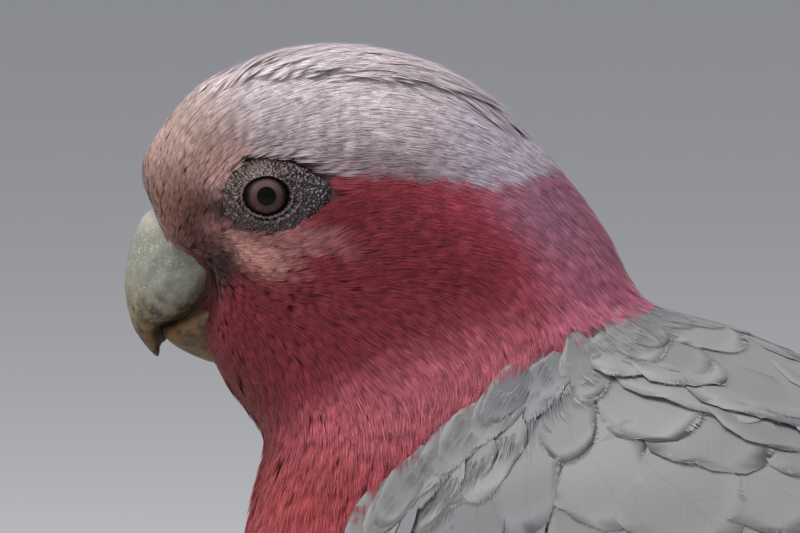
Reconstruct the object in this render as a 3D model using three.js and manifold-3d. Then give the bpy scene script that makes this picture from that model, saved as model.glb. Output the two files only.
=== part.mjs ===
// A galah, life size, standing on level ground with its body nearly level and its head turned a little to its left.
//
// Millimetres, +Z up. The bird's breast is towards -X and its tail towards +X, and its left side towards -Y.
// Sizes are written for a bird that looks straight ahead, with x and z measured from the middle of its eye.
// lookLeft() turns the head and neck, and at the end the bird is set down with its origin on the ground.

import * as THREE from "three";
import { mergeVertices } from "three/addons/utils/BufferGeometryUtils.js";
import Module from "manifold-3d";

const wasm = await Module();
wasm.setup();
const { Manifold, Mesh } = wasm;

// ---- Driving sizes, in millimetres and degrees ----

const eyeHeight = 165; // the height above the ground that heights are measured from
const gap = 0.3; // between neighbouring pieces
const headTurn = 15; // how far the head looks to the left
const turnPivotX = 50; // the upright line that the neck turns about
const turnEnds = 5; // height above the collar where the full turn is reached
const turnLength = 37; // measured along the neck, down from there

const collarThroat = [-1, -44]; // the collar is the plane between neck and trunk
const collarNape = [66, -18];
const headThroat = [-2, -41]; // the plane between head and neck
const headNape = [46, 10];

const eyeballRadius = 6.5;
const eyeRise = 1.5; // above the level that heights are measured from
const eyeballY = 11.9; // from the middle of the head
const lidSize = [8.9, 2.5, 6.7]; // half sizes of the bare ring round the eye
const lidCentre = [0.9, 15.4, -0.7]; // from the eyeball's middle, and from the middle of the head
const lidYaw = 9; // the ring faces a little forwards
const lidTilt = 7; // and a little upwards

const legX = 75; // where the feet stand
const legY = 18;
const heelHeight = 27;
const toeRadius = 2.9;
const clawRadius = 1.55;

// ---- Colours ----

const finish = (color, roughness) => new THREE.MeshStandardMaterial({ color, roughness, metalness: 0 });
const rose = finish(0xa9525c, 0.85);
const blush = finish(0xd9cdd0, 0.85);
const grey = finish(0xa3a3a4, 0.85);
const slate = finish(0x6d6d70, 0.8);
const horn = finish(0x9c9c8c, 0.5);
const bareSkin = finish(0x6b5a60, 0.7);
const footSkin = finish(0x77706c, 0.75);
const iris = finish(0x3a2522, 0.15);

// ---- Solids ----

// Turns a closed geometry into a solid, whichever way its triangles were wound.
function solidOf(geometry) {
  const bare = geometry.clone();
  bare.deleteAttribute("normal");
  bare.deleteAttribute("uv");
  const merged = mergeVertices(bare, 1e-4);
  const corners = [];
  const index = merged.index.array;
  for (let i = 0; i < index.length; i += 3) {
    const [a, b, c] = [index[i], index[i + 1], index[i + 2]];
    if (a !== b && b !== c && c !== a) corners.push(a, b, c);
  }
  const vertProperties = merged.attributes.position.array;
  const made = (triangles) =>
    new Manifold(new Mesh({ numProp: 3, vertProperties, triVerts: new Uint32Array(triangles) }));
  const solid = made(corners);
  if (solid.volume() > 0) return solid;
  for (let i = 0; i < corners.length; i += 3) [corners[i], corners[i + 1]] = [corners[i + 1], corners[i]];
  return made(corners);
}

function geometryOf(solid) {
  const { numProp, vertProperties, triVerts } = solid.getMesh();
  const place = new Float32Array((vertProperties.length / numProp) * 3);
  for (let i = 0; i < place.length / 3; i++) {
    place.set(vertProperties.subarray(i * numProp, i * numProp + 3), i * 3);
  }
  return new THREE.BufferGeometry()
    .setAttribute("position", new THREE.BufferAttribute(place, 3))
    .setIndex(new THREE.BufferAttribute(new Uint32Array(triVerts), 1));
}

// The largest of the pieces that a cut leaves.
const main = (solid) => solid.decompose().sort((a, b) => b.volume() - a.volume())[0];

// The turn at a place in the side view, in radians: none in the body, and all of headTurn in the head.
const [throatX, throatZ] = collarThroat;
const alongCollar = new THREE.Vector2(collarNape[0] - throatX, collarNape[1] - throatZ).normalize();
function turnAt(x, z) {
  const above = (z - throatZ) * alongCollar.x - (x - throatX) * alongCollar.y;
  const share = THREE.MathUtils.smoothstep(above, turnEnds - turnLength, turnEnds);
  return THREE.MathUtils.degToRad(headTurn) * share;
}

// Turns a point of the head or neck to the left, about an upright line through the neck.
function lookLeft([x, y, z]) {
  const [c, s] = [Math.cos(turnAt(x, z)), Math.sin(turnAt(x, z))];
  return [turnPivotX + (x - turnPivotX) * c - y * s, (x - turnPivotX) * s + y * c, z];
}

// A closed body made of rings. pointAt(v, angle) gives the point at v, from 0 to 1 along it, and at angle round it.
function ringBody(pointAt, rings, around) {
  const shape = new THREE.SphereGeometry(1, around, rings);
  const place = shape.attributes.position;
  for (let i = 0; i < place.count; i++) {
    const ring = Math.floor(i / (around + 1));
    const step = i % (around + 1);
    place.setXYZ(i, ...pointAt(ring / rings, (step / around) * 2 * Math.PI));
  }
  return solidOf(shape);
}

// Smooth curves through the stations' values, three values to a curve, as a function of v from 0 to 1.
function through(stations) {
  const curves = [];
  for (let d = 0; d < stations[0].length; d += 3) {
    const points = stations.map((station) => new THREE.Vector3(...station.slice(d, d + 3)));
    curves.push(new THREE.CatmullRomCurve3(points, false, "catmullrom", 0.5));
  }
  return (v) => curves.flatMap((curve) => curve.getPoint(v).toArray());
}

// The point of a body's end, moved outwards along its middle line by grow.
function endPoint(middleAt, v, grow) {
  const end = middleAt(v);
  const inwards = middleAt(v === 0 ? 0.01 : 0.99).sub(end);
  return end.addScaledVector(inwards.normalize(), -grow);
}

// A body between two outlines seen from the side. Each station is [top x, top z, under x, under z, half width, sag].
// Sag above 0 makes the section fuller low down, and flat below 1 makes the underside flatter.
function outlineBody(stations, { rings, around, grow = 0, flat = 1, y = 0, arch = 0 }) {
  const at = through(stations);
  const middleAt = (v) => {
    const [topX, topZ, underX, underZ] = at(v);
    return new THREE.Vector3((topX + underX) / 2, y, (topZ + underZ) / 2);
  };
  return ringBody((v, angle) => {
    if (v === 0 || v === 1) return lookLeft(endPoint(middleAt, v, grow).toArray());
    const [topX, topZ, underX, underZ, half, sag] = at(v);
    const [s, c] = [Math.sin(angle), Math.cos(angle)];
    const rise = new THREE.Vector3(topX - underX, 0, topZ - underZ).multiplyScalar(0.5);
    rise.setLength(rise.length() + grow).multiplyScalar(s < 0 ? -Math.pow(-s, flat) : s);
    const side = (Math.max(half, 0) + grow) * c * (1 - sag * s);
    const middle = middleAt(v);
    return lookLeft([middle.x + rise.x, y + side, middle.z + rise.z - arch * side * side]);
  }, rings, around);
}

// A thin curved body between two edges in space.
// Each station is [one edge's x, y, z, the other edge's x, y, z, half thickness, bow, 0].
// The bow lifts its middle towards the side that outward points to.
function bladeBody(stations, outward, { rings, around, grow = 0 }) {
  const at = through(stations);
  const middleAt = (v) => {
    const [ax, ay, az, bx, by, bz] = at(v);
    return new THREE.Vector3((ax + bx) / 2, (ay + by) / 2, (az + bz) / 2);
  };
  return ringBody((v, angle) => {
    if (v === 0 || v === 1) return endPoint(middleAt, v, grow).toArray();
    const [ax, ay, az, bx, by, bz, half, bow] = at(v);
    const [s, c] = [Math.sin(angle), Math.cos(angle)];
    const across = new THREE.Vector3(ax - bx, ay - by, az - bz).multiplyScalar(0.5);
    const normal = new THREE.Vector3(0, -across.z, across.y).normalize();
    if (normal.dot(outward) < 0) normal.negate();
    const reach = s * (across.length() + grow) / across.length();
    return middleAt(v)
      .addScaledVector(across, reach)
      .addScaledVector(normal, bow * (1 - reach * reach) + (Math.max(half, 0) + grow) * c)
      .toArray();
  }, rings, around);
}

// Rigidly turned as the head is, about the upright line through the neck.
function turnedBy(geometry, turn) {
  return solidOf(geometry.translate(-turnPivotX, 0, 0).rotateZ(turn).translate(turnPivotX, 0, 0));
}

// An ellipsoid of the head, with its poles to the side.
function headEllipsoid([rx, ry, rz], [x, y, z], yaw = 0, tilt = 0) {
  const shape = new THREE.SphereGeometry(1, 16, 8).rotateX(Math.PI / 2).scale(rx, ry, rz);
  shape.rotateX(THREE.MathUtils.degToRad(tilt)).rotateZ(THREE.MathUtils.degToRad(yaw)).translate(x, y, z);
  return turnedBy(shape, turnAt(x, z));
}

// A slab on the plane through two points of the side view, thick enough to part what it crosses.
function cutAcross([ax, az], [bx, bz]) {
  const slab = new THREE.BoxGeometry(400, 400, gap);
  slab.rotateY(-Math.atan2(bz - az, bx - ax)).translate((ax + bx) / 2, 0, (az + bz) / 2);
  return turnedBy(slab, turnAt(ax, az));
}

// The right wing, leg and foot are mirror images of the left.
const mirrored = (solid) => solid.mirror([0, 1, 0]);

// ---- The flesh: one body from face to rump ----
// [top x, top z, under x, under z, half width, sag]

const fleshStations = [
  [-15, -5, -15, -5, 0, 0], // inside the base of the bill
  [-22.6, 3.2, -10.6, -21, 9.4, 0.1], // face
  [-19.4, 11.6, -10.2, -28.5, 12.8, 0.14], // forehead and chin
  [-10.5, 21.4, -7.6, -33.5, 15.3, 0.17], // brow
  [4, 25.7, -4, -38, 17.8, 0.18], // crown and cheek
  [20, 25.6, -1.6, -41.6, 20.4, 0.17],
  [35, 19.2, -0.4, -43.2, 23.2, 0.15], // end of the crest
  [49, 8.2, -0.3, -43.6, 25.6, 0.12], // nape
  [60, -6, -0.9, -44.2, 28, 0.1],
  [67, -18.5, -2.2, -49, 30.5, 0.08], // collar
  [80, -22, -5, -62, 33.5, 0.05], // mantle and upper breast
  [98, -28.5, -4.5, -82, 36.5, 0.02],
  [118, -37.5, 8, -106, 38, 0], // back and keel
  [137, -47, 40, -124, 37, 0],
  [156, -58, 84, -128, 32, 0], // belly
  [174, -68.5, 128, -119, 24, 0],
  [190, -78, 162, -108, 15.5, 0], // rump and vent
  [203, -86, 188, -101, 8, 0],
  [211, -94, 211, -94, 0, 0],
];

const flesh = outlineBody(fleshStations, { rings: 38, around: 22 });

// ---- Wings, folded along the sides ----
// Stations run from the bend to the tip: [upper edge x, y, z, lower edge x, y, z, half thickness, bow]

const wingStations = [
  [24, 33, -72, 24, 33, -72, 0, 0, 0], // bend
  [30, 32, -55, 28, 34, -86, 2.4, 4.5, 0],
  [42, 28, -37.5, 38, 35, -95, 3, 9, 0],
  [62, 23, -28, 56, 36, -104, 3.2, 13, 0], // shoulder
  [90, 20.5, -29.5, 84, 36, -110, 3.2, 14.5, 0],
  [120, 17.5, -40.5, 115, 33.5, -113.5, 3, 13.5, 0],
  [149, 14.5, -53, 145, 27.5, -114.5, 2.7, 10.5, 0],
  [178, 12, -66, 175, 20.5, -111.5, 2.3, 7.5, 0],
  [206, 9.5, -77, 205, 15.5, -105, 1.9, 5, 0],
  [234, 8, -86.5, 234, 12.5, -101, 1.5, 3, 0], // primaries
  [262, 6.5, -95.5, 262, 9, -101.5, 1.1, 1.2, 0],
  [281, 6, -102, 281, 6, -102, 0, 0, 0], // wing tip
];

const leftWards = new THREE.Vector3(0, -1, 0);
const leftWingStations = wingStations.map(
  ([ax, ay, az, bx, by, bz, half, bow]) => [ax, -ay, az, bx, -by, bz, half, bow, 0]);
const wingLeft = bladeBody(leftWingStations, leftWards, { rings: 20, around: 12 });
const wingRoomLeft = bladeBody(leftWingStations, leftWards, { rings: 20, around: 12, grow: gap });
const wingRoom = wingRoomLeft.add(mirrored(wingRoomLeft));

// ---- Tail: closed, square-ended, a little arched ----

const tailStations = [
  [184, 0, -91, 184, 0, -91, 0, 0, 0],
  [190, -9, -93, 190, 9, -93, 3, 1.5, 0],
  [206, -12, -97.5, 206, 12, -97.5, 2.9, 2.2, 0],
  [232, -17, -105, 232, 17, -105, 2.3, 2.6, 0],
  [262, -22, -113, 262, 22, -113, 1.7, 2.4, 0],
  [290, -26, -120.5, 290, 26, -120.5, 1.2, 2.0, 0],
  [301, -24, -123.5, 301, 24, -123.5, 0.9, 1.6, 0],
  [306, -15, -124.5, 306, 15, -124.5, 0.6, 1.0, 0],
  [307, 0, -124.5, 307, 0, -124.5, 0, 0, 0],
];
const upWards = new THREE.Vector3(0, 0, 1);

// ---- Bill ----

const upperBillStations = [
  [-10, -6, -10, -6, 0, 0], // root, inside the face
  [-15.5, -0.5, -8.2, -10.6, 7.4, 0],
  [-21, -2.4, -8.4, -13, 8.0, 0.05], // feather edge
  [-24, -8.1, -10.6, -16.6, 7.8, 0.1],
  [-25.1, -13.8, -13.4, -19.6, 7.0, 0.12],
  [-24.8, -18.3, -16.4, -21.5, 5.7, 0.12],
  [-24.1, -21.3, -19.1, -21.9, 4.2, 0.08], // notch in the cutting edge
  [-22.9, -24.3, -19.3, -24.2, 2.7, 0],
  [-20.3, -27.5, -19.1, -27.4, 1.1, 0],
  [-19.3, -28.6, -19.3, -28.6, 0, 0], // hooked tip
];
const lowerBillStations = [
  [-1, -21, -1, -21, 0, 0],
  [-6, -15.5, -4, -29, 6.8, 0],
  [-10.6, -16.8, -8.8, -29.4, 7.3, 0],
  [-13.4, -19.8, -13, -28, 6.7, 0],
  [-16.4, -22.0, -16.6, -26, 5.2, 0],
  [-18.2, -23.1, -18.2, -24.3, 2.4, 0],
  [-18.6, -23.7, -18.6, -23.7, 0, 0],
];
const billShape = { rings: 12, around: 12, flat: 0.6 };
const billUpper = outlineBody(upperBillStations, billShape);
const billUpperRoom = outlineBody(upperBillStations, { ...billShape, grow: gap });
const lowerShape = { rings: 8, around: 12, flat: 1 };
const billLower = main(outlineBody(lowerBillStations, lowerShape).subtract(billUpperRoom));
const billLowerRoom = outlineBody(lowerBillStations, { ...lowerShape, grow: gap });

// The face draws in beside the bill, so that the bill's sides show back to the gape.
// What is cut away there is a rounded box that widens outwards from its floor.
const billSideFloor = 4.5;
const squared = (c) => Math.sign(c) * Math.pow(Math.abs(c), 0.67);
const billSide = (side) => ringBody((v, angle) => {
  const out = v < 0.5 ? billSideFloor : 24;
  const reach = v === 0 || v === 1 ? 0 : 1 + 0.012 * (out - billSideFloor);
  return lookLeft([-21.4 + 11.8 * reach * squared(Math.cos(angle)), side * out,
    -17.5 + 8.8 * reach * squared(Math.sin(angle))]);
}, 3, 24);

// ---- Crest: a blade of long feathers laid back over the crown ----

const crestStations = [
  [-13.5, 17.2, -13.5, 17.2, 0, 0],
  [-8, 22.4, -7, 20.6, 4.5, 0],
  [4, 26.7, 4.6, 24.8, 8.5, 0],
  [18, 26.9, 17.8, 24.8, 9.5, 0],
  [31, 23.2, 29.8, 21.2, 7.5, 0],
  [40, 17.4, 38.8, 15.9, 4, 0],
  [44.5, 14.0, 44.5, 14.0, 0, 0],
];
const crestShape = { rings: 12, around: 10, arch: 1 / 46 };
const crest = outlineBody(crestStations, crestShape);
const crestRoom = outlineBody(crestStations, { ...crestShape, grow: gap });

// ---- Eyes, and the bare ring of skin round each ----

const [lidX, lidY, lidZ] = lidCentre;
const sides = { left: -1, right: 1 };

const eyeball = (side, grow) =>
  headEllipsoid(new Array(3).fill(eyeballRadius + grow), [0, side * eyeballY, eyeRise]);
const lidLens = (side, grow) => headEllipsoid(
  lidSize.map((half) => half + grow), [lidX, side * lidY, eyeRise + lidZ], side * lidYaw, side * lidTilt);
const eyelid = (side) => main(lidLens(side, 0).subtract(eyeball(side, gap)));
const eyeHollow = (side) => eyeball(side, gap).add(lidLens(side, gap));

// ---- Legs ----

const groundZ = -eyeHeight;
const heelZ = groundZ + heelHeight;

const thighStations = [
  [legX, -108, legX, -108, 0, 0],
  [legX - 13, -112, legX + 13, -114, 9, 0],
  [legX - 12.5, -119, legX + 16, -121, 10, 0],
  [legX - 7.5, -128, legX + 16, -129.5, 8, 0],
  [legX - 1, -135.5, legX + 14, -136.5, 5.2, 0],
  [legX + 4, heelZ - 0.5, legX + 11.5, heelZ - 1, 3.2, 0],
  [legX + 7.6, heelZ - 2, legX + 7.6, heelZ - 2, 0, 0],
];

// A straight round bone-and-skin piece between two points of the leg.
function limb(from, to, radii) {
  const axis = new THREE.LineCurve3(new THREE.Vector3(...from), new THREE.Vector3(...to));
  const along = axis.getTangent(0);
  const side = new THREE.Vector3(0, 1, 0);
  const front = new THREE.Vector3().crossVectors(side, along).normalize();
  const radiusAt = through(radii.map((r) => [r, 0, 0]));
  return ringBody((v, angle) => {
    const round = Math.sqrt(Math.max(0, 1 - Math.pow(Math.abs(2 * v - 1), 6)));
    const r = radiusAt(v)[0] * round;
    return axis.getPoint(v)
      .addScaledVector(side, r * Math.cos(angle))
      .addScaledVector(front, r * Math.sin(angle))
      .toArray();
  }, 8, 8);
}

// ---- Feet: two toes forwards and two back ----

// How far each toe reaches from the leg, which way it points, in degrees outwards from straight ahead, and its claw.
const toes = {
  inner_front: { reach: 21, heading: -16, claw: 8.5 },
  outer_front: { reach: 30, heading: 11, claw: 10 },
  outer_back: { reach: 26, heading: 152, claw: 10 },
  inner_back: { reach: 16, heading: 196, claw: 8 },
};
const toeStart = 4.4; // toes start this far from the middle of the foot

// Moves a toe or claw that was made along +X, at the foot's middle, to its place on the left foot.
function onLeftFoot(solid, heading) {
  return solid.rotate([0, 0, 180 + heading]).translate([legX, -legY, groundZ]);
}

const belowGround = solidOf(new THREE.BoxGeometry(600, 400, 40).translate(0, 0, -20));

// A toe with padded joints, cut flat where it meets the ground.
function toe(reach) {
  const pads = 3;
  const body = ringBody((v, angle) => {
    const round = Math.sqrt(Math.max(0, 1 - Math.pow(Math.abs(2 * v - 1), 5)));
    const r = toeRadius * (1.04 - 0.2 * v + 0.07 * Math.cos(2 * Math.PI * pads * v)) * round;
    const x = toeStart + v * (reach - toeStart);
    return [x, r * Math.cos(angle), toeRadius * 0.8 + r * Math.sin(angle) * 0.95];
  }, 9, 10);
  return main(body.subtract(belowGround));
}

// A claw that grows from the toe's end, arches up and comes down to the ground.
function claw(reach, length) {
  const rootX = reach + gap - 0.9;
  const body = ringBody((v, angle) => {
    const bend = THREE.MathUtils.degToRad(-12 + 78 * v);
    const r = clawRadius * Math.pow(1 - v, 0.75) * Math.min(1, 8 * v);
    const x = rootX + length * Math.sin(1.25 * v) * 0.86;
    const z = 3.4 + 1.5 * Math.sin(Math.PI * v) - 3.0 * v * v;
    const up = r * Math.sin(angle);
    return [x + up * Math.sin(bend), r * 0.72 * Math.cos(angle), z + up * Math.cos(bend)];
  }, 7, 6);
  return body;
}

const shankTop = [legX + 7.2, -legY, heelZ + 0.5];
const shankFoot = [legX + 0.6, -legY, groundZ + 3.9];
const shankLeft = limb(shankTop, shankFoot, [3.1, 2.9, 2.5, 2.5, 2.8, 3.6]);
const shankRoomLeft = limb(shankTop, shankFoot, [3.4, 3.2, 2.8, 2.8, 3.1, 3.9]);

// ---- Fitting the pieces to each other, with a gap at every joint ----

const thighLeftWhole = outlineBody(thighStations, { rings: 8, around: 12, y: -legY });
const bare = flesh.subtract(wingRoom).subtract(billUpperRoom).subtract(billLowerRoom).subtract(crestRoom)
  .subtract(eyeHollow(sides.left)).subtract(eyeHollow(sides.right))
  .subtract(billSide(sides.left)).subtract(billSide(sides.right));
const [headCut, collarCut] = [cutAcross(headThroat, headNape), cutAcross(collarThroat, collarNape)];
const parted = main(bare).subtract(headCut).subtract(collarCut).decompose();
const middleX = (solid) => (solid.boundingBox().min[0] + solid.boundingBox().max[0]) / 2;
const [head, neck, trunk] = parted.filter((s) => s.volume() > 500).sort((a, b) => middleX(a) - middleX(b));

const trunkRoom = trunk.translate([0, 0, -gap * 1.6]).add(trunk);
const thighLeft = main(thighLeftWhole.subtract(trunkRoom).subtract(wingRoom).subtract(shankRoomLeft));
const tail = main(
  bladeBody(tailStations, upWards, { rings: 13, around: 12 }).subtract(wingRoom)
    .subtract(trunk.translate([gap, 0, -gap]).add(trunk.translate([gap, 0, gap])).add(trunk)),
);

const pieces = {
  head: [head, blush],
  neck: [neck, rose],
  trunk: [trunk, rose],
  crest: [crest, blush],
  bill_upper: [billUpper, horn],
  bill_lower: [billLower, horn],
  tail: [tail, slate],
};
for (const [name, side] of Object.entries(sides)) {
  pieces[`eye_${name}`] = [eyeball(side, 0), iris];
  pieces[`eyelid_${name}`] = [eyelid(side), bareSkin];
}
const paired = {
  wing: [wingLeft, grey],
  thigh: [thighLeft, rose],
  shank: [shankLeft, footSkin],
};
const partingBetween = (a, b) =>
  onLeftFoot(solidOf(new THREE.BoxGeometry(60, gap, 30).translate(30, 0, 0)), (a.heading + b.heading) / 2);
const partings = partingBetween(toes.inner_front, toes.outer_front)
  .add(partingBetween(toes.inner_back, toes.outer_back));
for (const [name, { reach, heading, claw: length }] of Object.entries(toes)) {
  const digit = onLeftFoot(toe(reach), heading).subtract(partings);
  const nail = onLeftFoot(claw(reach, length), heading);
  const digitRoom = onLeftFoot(toe(reach + gap), heading);
  paired[`toe_${name}`] = [main(digit.subtract(shankRoomLeft)), footSkin];
  paired[`claw_${name}`] = [main(nail.subtract(digitRoom)), horn];
}
for (const [name, [solid, material]] of Object.entries(paired)) {
  pieces[`${name}_left`] = [solid, material];
  pieces[`${name}_right`] = [mirrored(solid), material];
}

// ---- Setting the bird down ----

const bird = new THREE.Group();
for (const [name, [solid, material]] of Object.entries(pieces)) {
  const mesh = new THREE.Mesh(geometryOf(solid), material);
  mesh.name = name;
  bird.add(mesh);
}
const box = new THREE.Box3().setFromObject(bird, true);
bird.position.set(-(box.min.x + box.max.x) / 2, -(box.min.y + box.max.y) / 2, -box.min.z);

const galah = new THREE.Group();
galah.add(bird);
export default galah;
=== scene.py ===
# %% [markdown]
# # A galah, as a museum model
# The bird's solids come ready made: head, neck, trunk, wings, tail, legs, feet, bill and eyes, each at its
# real size. They are plain blocks of plumage. Here they get their looks: a skin, some two hundred thousand
# barbs laid over it in the order that a real bird's lie, beaded bare skin round the eyes, horn on the bill
# and scales on the feet. The solids themselves are never moved: each new piece stands for one or more of
# them.

# %% The solids, loaded
import math

import bmesh
import bpy
import numpy as np
from mathutils import Matrix, Vector
from mathutils.bvhtree import BVHTree


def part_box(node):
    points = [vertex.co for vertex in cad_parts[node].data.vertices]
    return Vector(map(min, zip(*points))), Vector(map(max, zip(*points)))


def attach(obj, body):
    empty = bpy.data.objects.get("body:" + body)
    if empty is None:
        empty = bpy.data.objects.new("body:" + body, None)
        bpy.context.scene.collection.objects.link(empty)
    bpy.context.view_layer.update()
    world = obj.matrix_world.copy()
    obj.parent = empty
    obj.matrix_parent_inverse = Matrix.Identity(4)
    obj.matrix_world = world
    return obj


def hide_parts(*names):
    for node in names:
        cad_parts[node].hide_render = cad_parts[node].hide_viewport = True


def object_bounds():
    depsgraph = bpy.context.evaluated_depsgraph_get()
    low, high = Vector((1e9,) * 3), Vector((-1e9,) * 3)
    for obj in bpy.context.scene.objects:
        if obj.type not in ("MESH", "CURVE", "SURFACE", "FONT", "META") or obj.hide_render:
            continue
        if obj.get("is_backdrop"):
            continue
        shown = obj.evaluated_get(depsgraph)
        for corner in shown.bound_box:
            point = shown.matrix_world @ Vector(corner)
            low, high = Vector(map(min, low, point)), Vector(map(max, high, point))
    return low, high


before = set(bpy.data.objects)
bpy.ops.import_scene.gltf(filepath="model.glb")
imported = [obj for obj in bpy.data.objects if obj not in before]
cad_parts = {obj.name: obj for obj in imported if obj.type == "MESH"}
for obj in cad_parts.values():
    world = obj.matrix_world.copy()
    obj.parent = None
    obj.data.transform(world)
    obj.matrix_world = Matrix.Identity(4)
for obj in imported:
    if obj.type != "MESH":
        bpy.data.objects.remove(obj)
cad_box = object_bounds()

MM = 0.001
scene = bpy.context.scene
rng = np.random.default_rng(7)
print("solids:", len(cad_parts), "; size, m:", [round(v, 3) for v in cad_box[1] - cad_box[0]])

# %% [markdown]
# ## The bird's own measure
# Feathers are easiest to lay on a bird that looks straight ahead, in millimetres from the level of its eye.
# The model's head is turned to its left, about an upright line through its neck: all of the turn in the
# head, and less and less of it down the neck. These functions go from the model's metres to the straight
# bird and back. To undo the turn, the straight place is guessed, and the guess is corrected a few times.

# %% The straight bird and the model
EYE_LEVEL = 165.0
TAIL_TIP_X = 307.0
HEAD_TURN = math.radians(15)
TURN_LINE_X = 50.0
COLLAR_X, COLLAR_Z = -1.0, -44.0
COLLAR_ALONG = np.array([67.0, 26.0]) / math.hypot(67.0, 26.0)
TURN_STARTS, TURN_ENDS = -32.0, 5.0
ORIGIN_X = TAIL_TIP_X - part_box("tail")[1].x / MM


def smoothstep(x, low, high):
    t = np.clip((x - low) / (high - low), 0.0, 1.0)
    return t * t * (3 - 2 * t)


def above_collar(x, z):
    """How far a place is above the collar, along the neck, in millimetres."""
    return (z - COLLAR_Z) * COLLAR_ALONG[0] - (x - COLLAR_X) * COLLAR_ALONG[1]


def turn_at(x, z):
    return HEAD_TURN * smoothstep(above_collar(x, z), TURN_STARTS, TURN_ENDS)


def turned(points, angle):
    """Points turned by an angle for each, about the upright line through the neck."""
    out = points.copy()
    dx, y = points[:, 0] - TURN_LINE_X, points[:, 1]
    out[:, 0] = TURN_LINE_X + dx * np.cos(angle) - y * np.sin(angle)
    out[:, 1] = dx * np.sin(angle) + y * np.cos(angle)
    return out


def to_model(bird):
    """Straight bird, in millimetres, to model, in metres."""
    world = turned(bird, turn_at(bird[:, 0], bird[:, 2]))
    return (world + [-ORIGIN_X, 0.0, EYE_LEVEL]) * MM


def to_bird(model):
    """Model, in metres, to straight bird, in millimetres."""
    there = np.asarray(model, float) / MM - [-ORIGIN_X, 0.0, EYE_LEVEL]
    bird = there.copy()
    for _ in range(8):
        bird = turned(there, -turn_at(bird[:, 0], bird[:, 2]))
    return bird


eye_low, eye_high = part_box("eye_left")
eye_model = (eye_low + eye_high) / 2
print("eye on the straight bird, mm:", to_bird(np.array([eye_model]))[0].round(2))

# %% [markdown]
# ## Camera, floor and light
# The bird is seen from its left, square on to its turned head, by a long lens from a few steps away, so
# that near and far parts keep their real proportions. The floor is so large that it fills the picture
# behind the bird. The light is a plain soft one from above, a little toward the bill, with a weak fill
# beside the lens.

# %% Camera
SENSOR_MM = 36.0
CAMERA_DISTANCE = 2.0
CAMERA_AZIMUTH, CAMERA_ELEVATION = math.radians(15), math.radians(5)
FRAME_WIDTH = 0.140
EYE_RIGHT_OF_CENTRE, EYE_ABOVE_CENTRE = -0.0233, 0.01278

back = Vector((
    math.sin(CAMERA_AZIMUTH) * math.cos(CAMERA_ELEVATION),
    -math.cos(CAMERA_AZIMUTH) * math.cos(CAMERA_ELEVATION),
    math.sin(CAMERA_ELEVATION),
))
right = Vector((math.cos(CAMERA_AZIMUTH), math.sin(CAMERA_AZIMUTH), 0))
up = back.cross(right)
aim = eye_model - right * EYE_RIGHT_OF_CENTRE - up * EYE_ABOVE_CENTRE
lens = bpy.data.cameras.new("camera")
lens.sensor_width = SENSOR_MM
lens.lens = SENSOR_MM * CAMERA_DISTANCE / FRAME_WIDTH
lens.clip_start, lens.clip_end = 0.1, 100
camera = bpy.data.objects.new("camera", lens)
camera.location = aim + back * CAMERA_DISTANCE
camera.rotation_mode = "QUATERNION"
camera.rotation_quaternion = back.to_track_quat("Z", "Y")
scene.collection.objects.link(camera)
scene.camera = camera
scene.view_settings.view_transform = "Standard"
print("lens, mm:", round(lens.lens))

# %% Floor, lights and sky
FLOOR_SIZE = 120.0


def placed(title, mesh):
    """A mesh as an object in the scene."""
    piece = bpy.data.objects.new(title, mesh)
    scene.collection.objects.link(piece)
    return piece


def finished(shape, title):
    """A bmesh that is done, as an object in the scene."""
    mesh = bpy.data.meshes.new(title)
    shape.to_mesh(mesh)
    shape.free()
    return placed(title, mesh)


floor_shape = bmesh.new()
bmesh.ops.create_grid(floor_shape, x_segments=1, y_segments=1, size=FLOOR_SIZE / 2)
floor = finished(floor_shape, "floor")
floor_paint = bpy.data.materials.new("floor")
floor_paint.use_nodes = True
floor_surface = floor_paint.node_tree.nodes["Principled BSDF"].inputs
floor_surface["Base Color"].default_value = (0.72, 0.72, 0.73, 1)
floor_surface["Roughness"].default_value = 0.9
floor.data.materials.append(floor_paint)
floor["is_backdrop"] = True


def area_light(name, offset, size, watts, colour):
    light = bpy.data.lights.new(name, "AREA")
    light.shape, light.size, light.energy, light.color = "DISK", size, watts, colour
    lamp = bpy.data.objects.new(name, light)
    lamp.location = aim + Vector(offset)
    lamp.rotation_mode = "QUATERNION"
    lamp.rotation_quaternion = Vector(offset).to_track_quat("Z", "Y")
    lamp.visible_camera = False
    scene.collection.objects.link(lamp)


area_light("key", (-0.3, -0.3, 1.0), 0.8, 16.0, (1.0, 0.97, 0.94))
area_light("fill", (-0.9, -1.1, 0.5), 0.9, 3.0, (0.93, 0.96, 1.0))
scene.world = bpy.data.worlds.new("sky")
scene.world.use_nodes = True
sky = scene.world.node_tree.nodes["Background"].inputs
sky["Color"].default_value = (0.9, 0.93, 1.0, 1)
sky["Strength"].default_value = 0.35
print("floor, m:", FLOOR_SIZE, "across; lights:", len(bpy.data.lights))

# %% [markdown]
# ## Shader arithmetic
# A material's masks are sums and products of many small parts. Written as nodes by hand they are hard to
# read, so a small class holds one socket and turns each arithmetic sign into its Math node. Every other
# kind of node is made by one function, which sets the node's settings first and then fills or links its
# sockets.

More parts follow.
